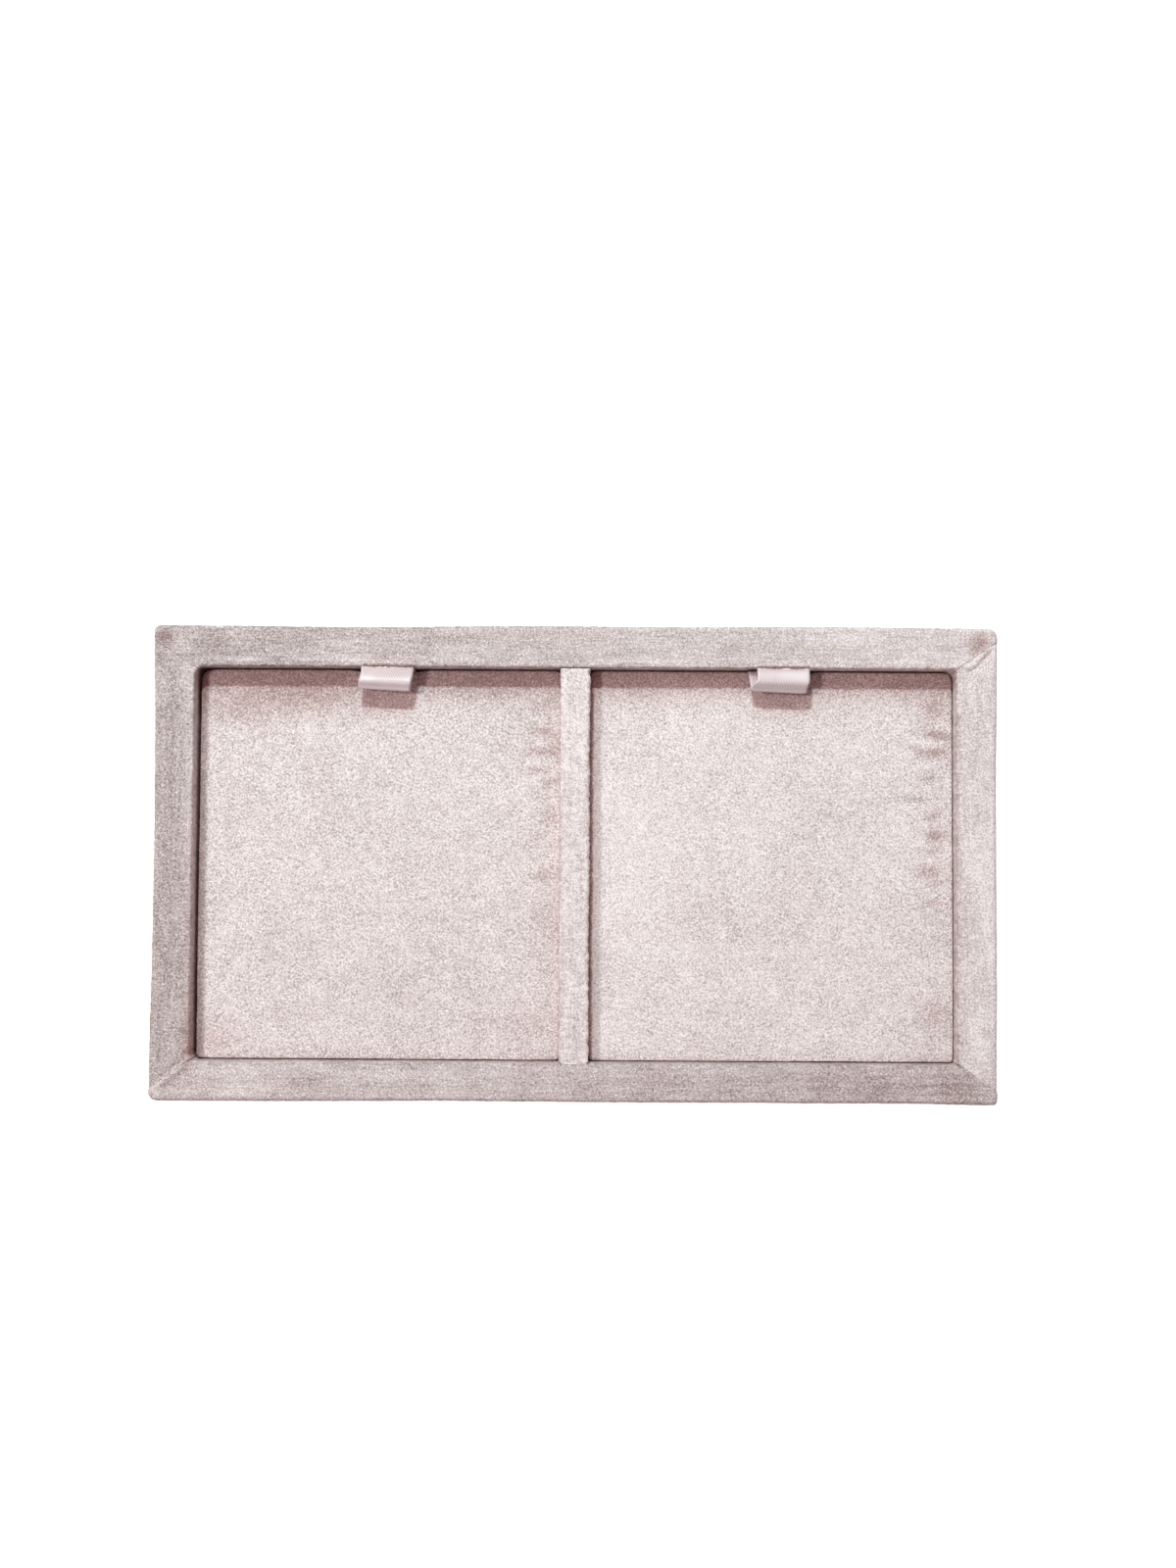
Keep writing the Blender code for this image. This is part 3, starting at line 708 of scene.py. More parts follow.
def velvet_sheet(name: str, columns: int, rows: int, place: Place) -> Mesh:
    """Cuts a flat grid and folds it.

    Args:
        name: the mesh's name.
        columns: faces along the piece.
        rows: faces across the piece.
        place: gives each point's place from its shares along and across.

    Returns:
        The folded mesh.
    """
    mesh = grid_mesh(name, columns, rows, 0.5)
    shares = read_points(mesh)[:, :2] + 0.5
    write_points(mesh, place(shares[:, 0], shares[:, 1]))
    mesh.shade_smooth()
    return mesh


def add_piece(
    mesh: Mesh,
    finish: VelvetFinish | SatinFinish,
    replaces: Sequence[str],
    thickness: float,
    offset: float = -1.0,
) -> Object:
    """Makes a mesh a piece of the object, with its thickness, and reports it.

    Args:
        mesh: the piece's surface, whose place is in its points and whose name the piece takes.
        finish: its finish.
        replaces: the CAD nodes that it stands for.
        thickness: the cloth's thickness, in metres.
        offset: where the thickness goes: -1 behind the surface, 0 on both sides.

    Returns:
        The piece.
    """
    mesh.materials.clear()
    mesh.materials.append(material_of(finish))
    piece = add_object(mesh.name, mesh)
    solidify = piece.modifiers.new("thickness", "SOLIDIFY")
    solidify.thickness = thickness
    solidify.offset = offset
    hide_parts(*replaces)
    LOG.info("%s: %d faces", mesh.name, len(mesh.polygons))
    return piece


VELVET_THICKNESS = 0.6 * MM


def arc(centre: Point, radius: float, start: float, end: float, steps: int) -> list[Point]:
    """Points on a circle's arc, the first left out.

    Args:
        centre: the circle's middle.
        radius: its radius.
        start: where the arc starts, in degrees.
        end: where it ends, in degrees.
        steps: how many points.

    Returns:
        The points, in order.
    """
    angles = np.radians(np.linspace(start, end, steps + 1)[1:])
    return [(centre[0] + radius * math.cos(a), centre[1] + radius * math.sin(a)) for a in angles]


def run(start: Point, end: Point, count: int) -> list[Point]:
    """Points along a straight line, the first left out.

    Args:
        start: where the line starts.
        end: where it ends.
        count: how many points.

    Returns:
        The points, in order.
    """
    shares = np.linspace(0, 1, count + 1)[1:]
    return [tuple(np.add(start, np.multiply(share, np.subtract(end, start)))) for share in shares]


@dataclass(frozen=True)
class Corner:
    """One corner of the frame.

    Attributes:
        outer: its radius on the outside, in metres.
        inner: its radius in the opening at the rim, in metres.
        reach: how far the front or back strip goes past the corner's middle on the outside.
        low: its radius in the opening 4 mm below the rim, in metres.
    """

    outer: float
    inner: float
    reach: float
    low: float = 1.0 * MM


@dataclass(frozen=True)
class SideLook:
    """How the velvet lies on one side of the frame.

    Attributes:
        inner_edge: the radius of the edge by the opening, in metres.
        nap: how pale the pile lies in the middle.
        slope: how much paler it gets from one end to the other, anticlockwise.
        edge_shade: how much paler, or if negative darker, it is at the inner edge.
        edge_fade: the power that this shade fades by towards the rail's middle.
        wall_ground_and_shade: how far the warm ground shows on the wall inside, with warm painted shade in
            the recess.
        wall_shade: how much paler that wall is than its edge.
        outer_shade: how much paler the outer edge is.
        bulge: how far the wall's pile bulges out, where the pads leave it room, in metres.
        pressed: how far the pads, which lie against it, press it back, in metres.
        ragged: how much the tufts of the inner edge differ.
    """

    inner_edge: float
    nap: float
    slope: float
    edge_shade: float
    edge_fade: float
    wall_ground_and_shade: float
    wall_shade: float = 0.0
    outer_shade: float = 0.0
    bulge: float = 0.0
    pressed: float = 0.0
    ragged: float = 0.26


@dataclass
class FrameVelvet:
    """The four strips of velvet folded round the frame.

    Attributes:
        half_length: half the tray's length.
        half_depth: half the tray's depth.
        height: the tray's height.
        rail_width: the width of a rail.
        floor: how far down the strips go inside.
        turned_edge: how wide the edge turned under the tray is.
        outer_edge: the radius of the outer edges.
        crown: how far the middle of a rail's top stands above its edges.
        spacing: how far apart the mesh's points are on the top.
    """

    half_length: float
    half_depth: float
    height: float
    rail_width: float = 9.6 * MM
    floor: float = 4.3 * MM
    turned_edge: float = 6.0 * MM
    outer_edge: float = 1.0 * MM
    crown: float = 0.12 * MM
    spacing: float = 0.36 * MM

    # How far the ragged pile along the inner edges stands out or back
    RAGGED = 0.2 * MM
    # How far single tufts of the upper edges lean out over the opening
    OVERHANG = 0.16 * MM
    # How far the outer sides bow out, in hundredths of a mm, at places in mm along X or Y
    BOWS = {
        Side.FRONT: ((-98, -60, -32, -10, 11, 34, 60, 80, 98), (12, 0, -24, -18, -8, -22, -17, -20, 5)),
        Side.RIGHT: ((-45, -25, 0, 25, 42, 53), (-28, -8, -12, -10, 20, 33)),
        Side.BACK: ((-98, -70, -45, -25, -5, 22, 45, 72, 98), (38, 22, 15, 50, 58, 48, 60, 68, 48)),
        Side.LEFT: ((-45, -30, -15, 0, 20, 42, 53), (5, -18, -25, -32, -25, 5, 35)),
    }
    BOW_UNIT = 0.01 * MM
    # The velvet is drawn tighter round some of the inner edges, and round all at the corners
    LOOKS = {
        Side.FRONT: SideLook(0.35 * MM, 0.43, -0.10, -0.22, 0.5, 0.25, pressed=0.14 * MM),
        Side.RIGHT: SideLook(1.7 * MM, 0.66, 0.0, -0.21, 0.35, 0.02, wall_shade=0.09, ragged=0.42),
        Side.BACK: SideLook(
            0.45 * MM, 0.43, -0.38, 0.0, 1.0, 0.18, outer_shade=-0.42, bulge=0.04 * MM
        ),
        # The left rail's paler inner edge is a painted highlight of tufts catching the light over its
        # shaded wall
        Side.LEFT: SideLook(0.45 * MM, 0.29, 0.0, 0.27, 0.5, 0.16, bulge=0.09 * MM),
    }
    # The inner edges' radius at the corners, and over how long a run they come to it
    CORNER_EDGE = 0.5 * MM
    CORNER_RUN = 6 * MM
    # How far below the rim the corners in the opening reach their lower radius
    CORNER_DROP = 4 * MM
    CORNERS = {
        (-1, -1): Corner(2.0 * MM, 0.6 * MM, 2.2 * MM, 1.6 * MM),
        (1, -1): Corner(0.9 * MM, 0.6 * MM, 3.0 * MM),
        (1, 1): Corner(1.9 * MM, 1.0 * MM, 2.6 * MM, 2.2 * MM),
        (-1, 1): Corner(1.4 * MM, 3.1 * MM, 3.0 * MM),
    }
    # Cells of the noise that varies the tufts of an edge, which stand upright
    EDGE_TUFT = (0.75 * MM, 0.75 * MM, 2.4 * MM)

    def section(self, inner: float) -> np.ndarray:
        """A strip's section from the edge turned under the tray to the floor inside.

        Args:
            inner: the radius of the inner edge.

        Returns:
            Rows of the inset from the outer side and the height, in metres.
        """
        top, outer = self.height, self.outer_edge
        coarse = 1.2 * MM
        inner_centre = self.rail_width - inner
        across = round(self.rail_width / self.spacing) - 4
        # Each call's last number is how many points it adds
        points = [(self.turned_edge, 0.0)]
        points += run(points[-1], (outer, 0), 5)
        points += arc((outer, outer), outer, 270, 180, 3)
        points += run(points[-1], (0, top - outer - coarse), 15)
        points += run(points[-1], (0, top - outer), 3)
        points += arc((outer, top - outer), outer, 180, 90, 4)
        points += run(points[-1], (inner_centre, top), across)
        points += arc((inner_centre, top - inner), inner, 90, 0, 6)
        points += run(points[-1], (self.rail_width, top - inner - 2 * coarse), 7)
        points += run(points[-1], (self.rail_width, self.floor), 11)
        return np.array(points)

    def fold(self, side: Side, along: np.ndarray, inset: np.ndarray, height: np.ndarray) -> np.ndarray:
        """Places points of a strip on the frame.

        Args:
            side: the side that the strip covers.
            along: shares along the strip, anticlockwise round the tray.
            inset: each point's inset from the outer side.
            height: each point's height.

        Returns:
            Rows of X, Y and Z.
        """
        halves = (self.half_length, self.half_depth)
        half_along, half_across = halves if side.is_long else halves[::-1]
        signed = 2 * along - 1
        position = np.zeros((len(along), 2))
        for end in (-1, 1):
            here = signed * end >= 0
            corner = self.CORNERS[tuple(int(v) for v in side.outward + end * side.along)]
            depth = inset[here] / self.rail_width
            upper = np.clip((height[here] - self.height + self.CORNER_DROP) / self.CORNER_DROP, 0, 1)
            inner = corner.low + (corner.inner - corner.low) * upper
            radius = corner.outer + (inner - corner.outer) * depth
            straight = half_along - inset[here] - radius
            reach = (corner.reach if side.is_long else -corner.reach) * (1 - depth)
            limit = straight + math.pi / 4 * radius + reach
            way = np.abs(signed[here]) * limit
            angle = np.clip((way - straight) / radius, 0, math.pi / 2)
            beyond = np.maximum(way - straight - math.pi / 2 * radius, 0)
            run_along = np.minimum(way, straight) + radius * np.sin(angle)
            out = half_across - inset[here] - radius + radius * np.cos(angle) - beyond
            position[here] = end * run_along[:, None] * side.along + out[:, None] * side.outward
        return np.column_stack((position, height))

    def strip(self, side: Side) -> None:
        """Builds the strip that covers a side."""
        section, corner_section = map(self.section, (self.LOOKS[side].inner_edge, self.CORNER_EDGE))
        rows = len(section) - 1
        length = 2 * (self.half_length if side.is_long else self.half_depth)

        def place(along: np.ndarray, across: np.ndarray) -> np.ndarray:
            row = np.rint(across * rows).astype(int)
            from_end = np.minimum(along, 1 - along) * length - self.rail_width
            at_corner = np.clip(1 - from_end / self.CORNER_RUN, 0, 1)[:, None]
            mixed = section[row] + (corner_section[row] - section[row]) * at_corner
            return self.fold(side, along, *mixed.T)

        word = side.name.lower()
        mesh = velvet_sheet(f"{word}_rail_pile", round(length / self.spacing), rows, place)
        self.dress(mesh, side)
        finish = LONG_RAIL if side.is_long else SHORT_RAIL
        piece = add_piece(mesh, finish, [f"{word}_rail_velvet"], VELVET_THICKNESS)
        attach(piece, "tray")

    def dress(self, mesh: Mesh, side: Side) -> None:
        """Raises the pile and the seams, and sets how the pile lies.

        Args:
            mesh: the folded strip.
            side: the side that it covers.
        """
        look, seed = self.LOOKS[side], 10 * list(Side).index(side)
        points = read_points(mesh)
        down = self.height - points[:, 2]
        across = self.across(points, side)
        half_rail = self.rail_width / 2
        # Where each point is, from 0 to 1: high up, on the top, by either edge, on the wall inside
        above = np.clip((3 * MM - down) / (2 * MM), 0, 1)
        on_top = np.clip(1 - np.abs(across) / half_rail, 0, 1)
        inner = np.clip(-across / half_rail, 0, 1) ** 12
        outer = np.clip(across / half_rail, 0, 1) ** 9
        wall = inner * np.clip((down - 0.8 * MM) / (1.5 * MM), 0, 1)
        # The pile's height: its crown, the ragged edge, and how the wall bulges or is pressed
        relief = pile_relief(points, seed) + self.crown * np.sqrt(on_top) * above
        rim = fade(across + half_rail - 0.4 * MM, 0.6 * MM) * above
        relief += self.RAGGED * rim * smooth_noise(points, 0.7 * MM, seed + 3)
        relief *= 1 - 0.7 * inner * (1 - above)
        bulge = inner * fade(down - 1.4 * MM, 1.2 * MM)
        relief += look.bulge * bulge * (0.6 + 0.8 * smooth_noise(points, self.EDGE_TUFT, seed + 6))
        relief -= look.pressed * inner
        # How it lies: the side's own shades, among them the left inner edge's painted highlight, then
        # brushed streaks, blotches and single tufts
        half = self.half_length if side.is_long else self.half_depth
        nap = look.nap + look.slope * points[:, :2] @ side.along / half * 0.5
        nap += look.edge_shade * inner**look.edge_fade + look.wall_shade * wall
        nap += look.outer_shade * outer
        nap += 0.09 * smooth_noise(points, self.streak(side), seed + 4)
        nap += 0.08 * smooth_noise(points, 6 * MM, seed + 5)
        nap += look.ragged * inner * smooth_noise(points, self.EDGE_TUFT, seed + 7)
        # Warmer and darker by the inner edge and on the wall inside: partly the pile's ground, partly
        # painted shade
        blush = 0.08 * inner + look.wall_ground_and_shade * wall
        # Patches and creases add their shades, painted highlights, painted shade and a painted contact
        # shadow among them
        shown = np.maximum(above, inner)
        for mark in (*CREASES, *RAIL_PATCHES):
            strength = mark.at(points)
            nap += mark.shade * strength * shown
            blush += mark.blush * strength * shown
            if isinstance(mark, Crease):
                relief += mark.height * MM * strength * above
        move = relief[:, None] * read_points(mesh, "normal")
        # No tuft by the opening leans further over it than it has room
        room = np.maximum(across + half_rail, 0) + look.bulge + self.OVERHANG * above
        past = np.maximum(-(move[:, :2] @ side.outward) - room, 0) * (inner > 0.28)
        move[:, :2] += past[:, None] * side.outward + self.bow(points)
        write_points(mesh, points + move)
        store_nap_and_shading(mesh, nap, blush)

    def across(self, points: np.ndarray, side: Side) -> np.ndarray:
        """How far each point is from the middle of the rail, outwards, in metres."""
        half = self.half_depth if side.is_long else self.half_length
        return points[:, :2] @ side.outward - (half - self.rail_width / 2)

    def bow(self, points: np.ndarray) -> np.ndarray:
        """How far the outer sides' bows carry each point, along X and Y, in metres."""
        move = np.zeros((len(points), 2))
        for side, (places, bows) in self.BOWS.items():
            along = points[:, 0] if side.is_long else points[:, 1]
            wanted = np.clip(along, places[0] * MM, places[-1] * MM)
            places, bows = np.array(places) * MM, np.array(bows) * self.BOW_UNIT
            share = np.clip(2 * self.across(points, side) / self.rail_width, 0, 1) ** 2
            move += (share * smooth_through(places, bows, wanted))[:, None] * side.outward
        return move

    def streak(self, side: Side) -> Size:
        """The size of a brushed streak, which runs along the rail."""
        return (14 * MM, 1.1 * MM, 2 * MM) if side.is_long else (1.1 * MM, 14 * MM, 2 * MM)

    def build(self) -> None:
        """Builds the four strips."""
        for side in Side:
            self.strip(side)


@dataclass
class DividerVelvet:
    """The velvet folded over the partition.

    Attributes:
        half_width: half the partition's width.
        half_run: half its length.
        top: its height.
        floor: how far down the velvet goes.
        edge: the radius of its top edges.
        spacing: how far apart the mesh's points are on the top.
    """

    half_width: float
    half_run: float
    top: float
    floor: float = 4.3 * MM
    edge: float = 0.85 * MM
    spacing: float = 0.36 * MM

    # How far its front end's rounded tongue reaches over the front rail
    TONGUE = 1.0 * MM
    # How far the ragged pile along its edges stands out or back
    RAGGED = 0.24 * MM
    # How far single tufts of the upper edges lean out over the compartments
    OVERHANG = 0.22 * MM
    # How far its right edge swells out over its compartment
    SWELL = 0.12 * MM

    def section(self) -> np.ndarray:
        """The velvet's section from one floor over the top to the other.

        Returns:
            Rows of the offset from the partition's middle and the height, in metres.
        """
        centre = self.half_width - self.edge
        points = [(self.half_width, self.floor)]
        # Each call's last number is how many points it adds
        points += run(points[-1], (self.half_width, self.top - self.edge - 2 * MM), 10)
        points += run(points[-1], (self.half_width, self.top - self.edge), 5)
        points += arc((centre, self.top - self.edge), self.edge, 0, 90, 5)
        points += run(points[-1], (0, self.top), 7)
        return np.array(points + [(-offset, height) for offset, height in points[-2::-1]])

    def build(self) -> None:
        """Builds the piece."""
        section = self.section()
        rows = len(section) - 1

        def place(along: np.ndarray, across: np.ndarray) -> np.ndarray:
            offset, height = section[np.rint(across * rows).astype(int)].T
            round_end = np.sqrt(np.clip(1 - (offset / self.half_width) ** 2, 0, 1))
            upper = np.clip((height - self.top + 1.5 * MM) / (1.5 * MM), 0, 1)
            front = np.clip(1 - along * 20, 0, 1)
            way = (2 * along - 1) * self.half_run - self.TONGUE * round_end * upper * front
            return np.column_stack((offset, way, height))

        mesh = velvet_sheet("divider_pile", round(2 * self.half_run / self.spacing), rows, place)
        points = read_points(mesh)
        side = np.abs(points[:, 0]) / self.half_width
        to_right = np.clip(points[:, 0] / self.half_width, 0, 1) ** 3
        above = np.clip((points[:, 2] - self.top + 3 * MM) / (2 * MM), 0, 1)
        relief = pile_relief(points, 60)
        relief += self.RAGGED * fade(1 - side, 0.25) * smooth_noise(points, 0.7 * MM, 63)
        relief *= 0.3 + 0.7 * above
        moved = points + relief[:, None] * read_points(mesh, "normal")
        limit = self.half_width + self.OVERHANG * above
        moved[:, 0] = np.clip(moved[:, 0], -limit, limit) + self.SWELL * above * to_right
        write_points(mesh, moved)
        nap = 0.70 + 0.14 * smooth_noise(points, (0.9 * MM, 10 * MM, 2 * MM), 64)
        nap += 0.18 * smooth_noise(points, 0.8 * MM, 66) + 0.06 * smooth_noise(points, 5 * MM, 65)
        # Warmer by its edges and low on its walls: partly the pile's ground, partly painted shade in the
        # recesses
        store_nap_and_shading(mesh, nap + 0.06 * to_right, 0.1 * side**8 + 0.1 * (1 - above))
        piece = add_piece(mesh, SHORT_RAIL, ["divider_velvet"], VELVET_THICKNESS)
        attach(piece, "tray")


@dataclass
class Pad:
    """One lift-out pad: velvet drawn over foam and turned under its board.

    Attributes:
        word: left or right.
        low: the lowest corner of the pad's velvet.
        high: its highest corner.
        turned_edge: how wide the edge turned under the board is.
        draw: how far the sides lean in towards the bottom.
        cells: grid faces along X and along Y before the velvet is made finer.
    """

    word: str
    low: Vector
    high: Vector
    turned_edge: float = 8.0 * MM
    draw: float = 0.3 * MM
    cells: tuple[int, int] = (46, 49)

    CROWN = 0.4 * MM
    # The grid's lines run closer together near the pad's edges, this far in from them
    EDGE_LINES = (0.0, 0.3 * MM, 0.75 * MM, 1.5 * MM)
    # How deep the two fine bands at the top of the sides go together, and how deep each of the
    # next two is
    EDGE_DEPTH = 1.1 * MM
    SIDE_BAND = 2.2 * MM
    # The radius of the upper edges, by the signs of X and Y that they face
    EDGES = {(-1, 0): 0.52 * MM, (1, 0): 0.14 * MM, (0, -1): 0.28 * MM, (0, 1): 0.85 * MM}
    # The radius of the corners seen from above, by the signs of X and Y
    CORNERS = {
        "left": {(-1, -1): 1.4 * MM, (1, -1): 1.2 * MM, (1, 1): 1.5 * MM, (-1, 1): 2.8 * MM},
        "right": {(-1, -1): 1.2 * MM, (1, -1): 1.1 * MM, (1, 1): 2.2 * MM, (-1, 1): 1.5 * MM},
    }
    # How far the ribbon presses the pad's back side in, and how far beside it this fades out
    DENT = 0.62 * MM
    DENT_FADE = 1.2 * MM
    SWELL_FRAMES = 20
    # How much of the foam's push goes sideways
    SIDE_SWELL = 0.3
    # How pale the pile lies in the middle, and how much darker it is by the right edge
    NAP = {"left": 0.43, "right": 0.50}
    RIGHT_SHADE = {"left": 0.05, "right": 0.13}
    # How far the painted shadow of the wall on its left reaches in, and how dark it is
    LEFT_PAINTED_SHADOW = {"left": (1.9 * MM, 0.26), "right": (1.0 * MM, 0.40)}
    # How far the warm painted shade by the left edge reaches, how strong it is, and how much painted light
    # pales it
    LEFT_PAINTED_WARMTH_AND_LIGHT = {"left": (1.9 * MM, 0.42, 0.0), "right": (2.5 * MM, 0.40, 0.13)}

    @property
    def middle(self) -> np.ndarray:
        """The pad's middle."""
        return (np.array(self.low) + np.array(self.high)) / 2

    @property
    def half(self) -> np.ndarray:
        """Half its length, depth and height."""
        return (np.array(self.high) - np.array(self.low)) / 2

    @property
    def top(self) -> float:
        """The height of its top at the edges, before the foam swells it."""
        return self.high.z - self.CROWN

    def shape(self) -> Mesh:
        """Draws the velvet over the pad, before the foam swells it.

        Returns:
            A coarse mesh: the top, the sides and the edge turned under.
        """
        velvet = bmesh.new()
        bmesh.ops.create_grid(velvet, x_segments=self.cells[0], y_segments=self.cells[1], size=1)
        for vert in velvet.verts:
            vert.co = (self.line(vert.co.x, 0), self.line(vert.co.y, 1), 0)
        edges = [edge for edge in velvet.edges if edge.is_boundary]
        rest = self.top - self.low.z - self.EDGE_DEPTH - 2 * self.SIDE_BAND
        for drop in (self.EDGE_DEPTH / 2,) * 2 + (self.SIDE_BAND,) * 2 + (rest,):
            edges = self.add_band(velvet, edges, drop, 0)
        for width in (self.turned_edge / 3, self.turned_edge * 2 / 3):
            edges = self.add_band(velvet, edges, 0, width)
        bmesh.ops.recalc_face_normals(velvet, faces=velvet.faces)
        if max(velvet.faces, key=lambda face: face.calc_center_median().z).normal.z < 0:
            bmesh.ops.reverse_faces(velvet, faces=velvet.faces)
        mesh = bpy.data.meshes.new(f"{self.word}_coarse")
        velvet.to_mesh(mesh)
        velvet.free()
        write_points(mesh, self.rounded(read_points(mesh)))
        return mesh

    def line(self, share: float, axis: int) -> float:
        """Where one of the grid's lines runs.

        Args:
            share: its even place, from -1 to 1.
            axis: 0 along X or 1 along Y.

        Returns:
            Its place from the pad's middle, in metres.
        """
        half, lines = float(self.half[axis]), self.cells[axis] / 2
        counts = (*range(len(self.EDGE_LINES)), lines)
        inset = float(np.interp((1 - abs(share)) * lines, counts, (*self.EDGE_LINES, half)))
        return math.copysign(half - inset, share)

    @staticmethod
    def add_band(
        velvet: bmesh.types.BMesh, edges: list[bmesh.types.BMEdge], drop: float, width: float
    ) -> list[bmesh.types.BMEdge]:
        """Adds a band of faces to an edge loop.

        Args:
            velvet: the mesh.
            edges: the loop.
            drop: how far down the new loop is.
            width: how far inwards it is.

        Returns:
            The new loop's edges.
        """
        half_x = max(vert.co.x for edge in edges for vert in edge.verts)
        half_y = max(vert.co.y for edge in edges for vert in edge.verts)
        band = bmesh.ops.extrude_edge_only(velvet, edges=edges)["geom"]
        verts = [part for part in band if isinstance(part, bmesh.types.BMVert)]
        bmesh.ops.translate(velvet, verts=verts, vec=(0, 0, -drop))
        bmesh.ops.scale(velvet, verts=verts, vec=(1 - width / half_x, 1 - width / half_y, 1))
        return [part for part in band if isinstance(part, bmesh.types.BMEdge)]

    def rounded(self, box: np.ndarray) -> np.ndarray:
        """Moves the points of a plain box onto the pad with its rounded edges and corners.

        Args:
            box: rows of X and Y from the pad's middle and Z from its top.

        Returns:
            Rows of X, Y and Z on the tray.
        """
        half = self.half[:2]
        right, back = box[:, 0] > 0, box[:, 1] > 0
        across = np.where(right, self.EDGES[1, 0], self.EDGES[-1, 0])
        nearness = 1 / (half - np.abs(box[:, :2]) + MM)
        deep = np.where(back, self.EDGES[0, 1], self.EDGES[0, -1])
        edge = (across * nearness[:, 0] + deep * nearness[:, 1]) / nearness.sum(axis=1)
        radii = self.CORNERS[self.word]
        at_back = np.where(right, radii[1, 1], radii[-1, 1])
        corner = np.where(back, at_back, np.where(right, radii[1, -1], radii[-1, -1]))[:, None]
        # Round the upper edges, on a quarter circle from the top down to the side
        down = -box[:, 2]
        gap = np.min(half - np.abs(box[:, :2]), axis=1)
        on_side = np.clip(down / edge, 0, 1)
        angle = math.pi / 4 * (np.clip(1 - gap / edge, 0, 1) + on_side)
        inset = np.where(gap < edge, edge * (1 - np.sin(angle)), gap)
        drop = np.where(down < edge, edge * (1 - np.cos(angle)), down)
        under = (down > edge) & (gap > 0.1 * MM)
        inset, drop = np.where(under, gap, inset), np.where(under, down, drop)
        drop = np.where((down == 0) & (gap >= edge), 0, drop)
        # Round the corners seen from above, each square ring of points onto an arc
        plan = np.sign(box[:, :2]) * np.minimum(np.abs(box[:, :2]), half - inset[:, None])
        beyond = np.abs(plan) - (half - corner)
        at_corner = np.all(beyond > 0, axis=1)
        major, minor = beyond.max(axis=1), beyond.min(axis=1)
        turn = math.pi / 4 * np.where(at_corner, minor / np.maximum(major, 1e-9), 0)
        along_x = beyond[:, 0] >= beyond[:, 1]
        arc_x = major * np.where(along_x, np.cos(turn), np.sin(turn))
        arc_y = major * np.where(along_x, np.sin(turn), np.cos(turn))
        round_plan = np.sign(plan) * (half - corner + np.column_stack((arc_x, arc_y)))
        plan = np.where(at_corner[:, None], round_plan, plan)
        lean = 1 - self.draw / half * np.clip(drop / (self.top - self.low.z), 0, 1)[:, None]
        return self.dented(np.column_stack((plan * lean, -drop)) + (*self.middle[:2], self.top))

    def dented(self, points: np.ndarray) -> np.ndarray:
        """Presses the pad's back side in where its ribbon goes down."""
        low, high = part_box(f"{self.word}_ribbon_tail")
        offset = np.abs(points[:, 0] - (low.x + high.x) / 2) - (high.x - low.x) / 2
        beside = ease(np.clip(1 - offset / self.DENT_FADE, 0, 1))
        near = np.clip((points[:, 1] - self.middle[1]) / self.half[1] * 6 - 5, 0, 1)
        points[:, 1] -= self.DENT * beside * near
        return points

    def swell(self, mesh: Mesh) -> None:
        """Lets the foam push the velvet up by a short cloth simulation.

        Args:
            mesh: the drawn-over velvet, which takes the swollen shape.
        """
        start = read_points(mesh)
        cloth_object = add_object(f"{self.word}_swelling", mesh.copy())
        held = cloth_object.vertex_groups.new(name="held")
        for index, point in enumerate(start):
            if point[2] < self.top - self.EDGE_DEPTH / 2:
                held.add([index], 1.0, "REPLACE")
        cloth = cloth_object.modifiers.new("foam", "CLOTH")
        cloth.settings.vertex_group_mass = "held"
        cloth.settings.use_pressure = True
        cloth.settings.uniform_pressure_force = 4
        cloth.settings.tension_stiffness = 40
        cloth.settings.bending_stiffness = 2
        cloth.settings.effector_weights.gravity = 0
        scene = bpy.context.scene
        for step in range(1, self.SWELL_FRAMES + 1):
            scene.frame_set(step)
        evaluated = cloth_object.evaluated_get(bpy.context.evaluated_depsgraph_get())
        move = read_points(evaluated.data) - start
        longest = float(np.linalg.norm(move, axis=1).max())
        LOG.info("%s pad swells by up to %.2f mm", self.word, longest / MM)
        # The swelling's form is kept, and its height brought to the crown's
        scaled = move / max(longest, MM * 0.01) * self.CROWN
        scaled[:, :2] *= self.SIDE_SWELL
        write_points(mesh, start + scaled)
        data = cloth_object.data
        bpy.data.objects.remove(cloth_object)
        bpy.data.meshes.remove(data)
        scene.frame_set(1)

    def crown(self, mesh: Mesh) -> None:
        points = read_points(mesh)
        x, y = ((points - self.middle) / self.half)[:, :2].T
        rise = self.CROWN * np.clip(1 - np.abs(x) ** 3, 0, 1) * np.clip(1 - np.abs(y) ** 3, 0, 1)
        points[:, 2] += np.where(points[:, 2] > self.top - self.EDGE_DEPTH, rise, 0)
        write_points(mesh, points)

    def finer(self, mesh: Mesh) -> Mesh:
        """Subdivides the coarse velvet smoothly, two times, and names it as the piece."""
        coarse = add_object(f"{self.word}_coarse", mesh)
        smooth = coarse.modifiers.new("finer", "SUBSURF")
        smooth.levels = smooth.render_levels = 2
        graph = bpy.context.evaluated_depsgraph_get()
        fine = bpy.data.meshes.new_from_object(coarse.evaluated_get(graph))
        fine.name = f"{self.word}_pad_velvet"
        bpy.data.objects.remove(coarse)
        fine.shade_smooth()
        return fine

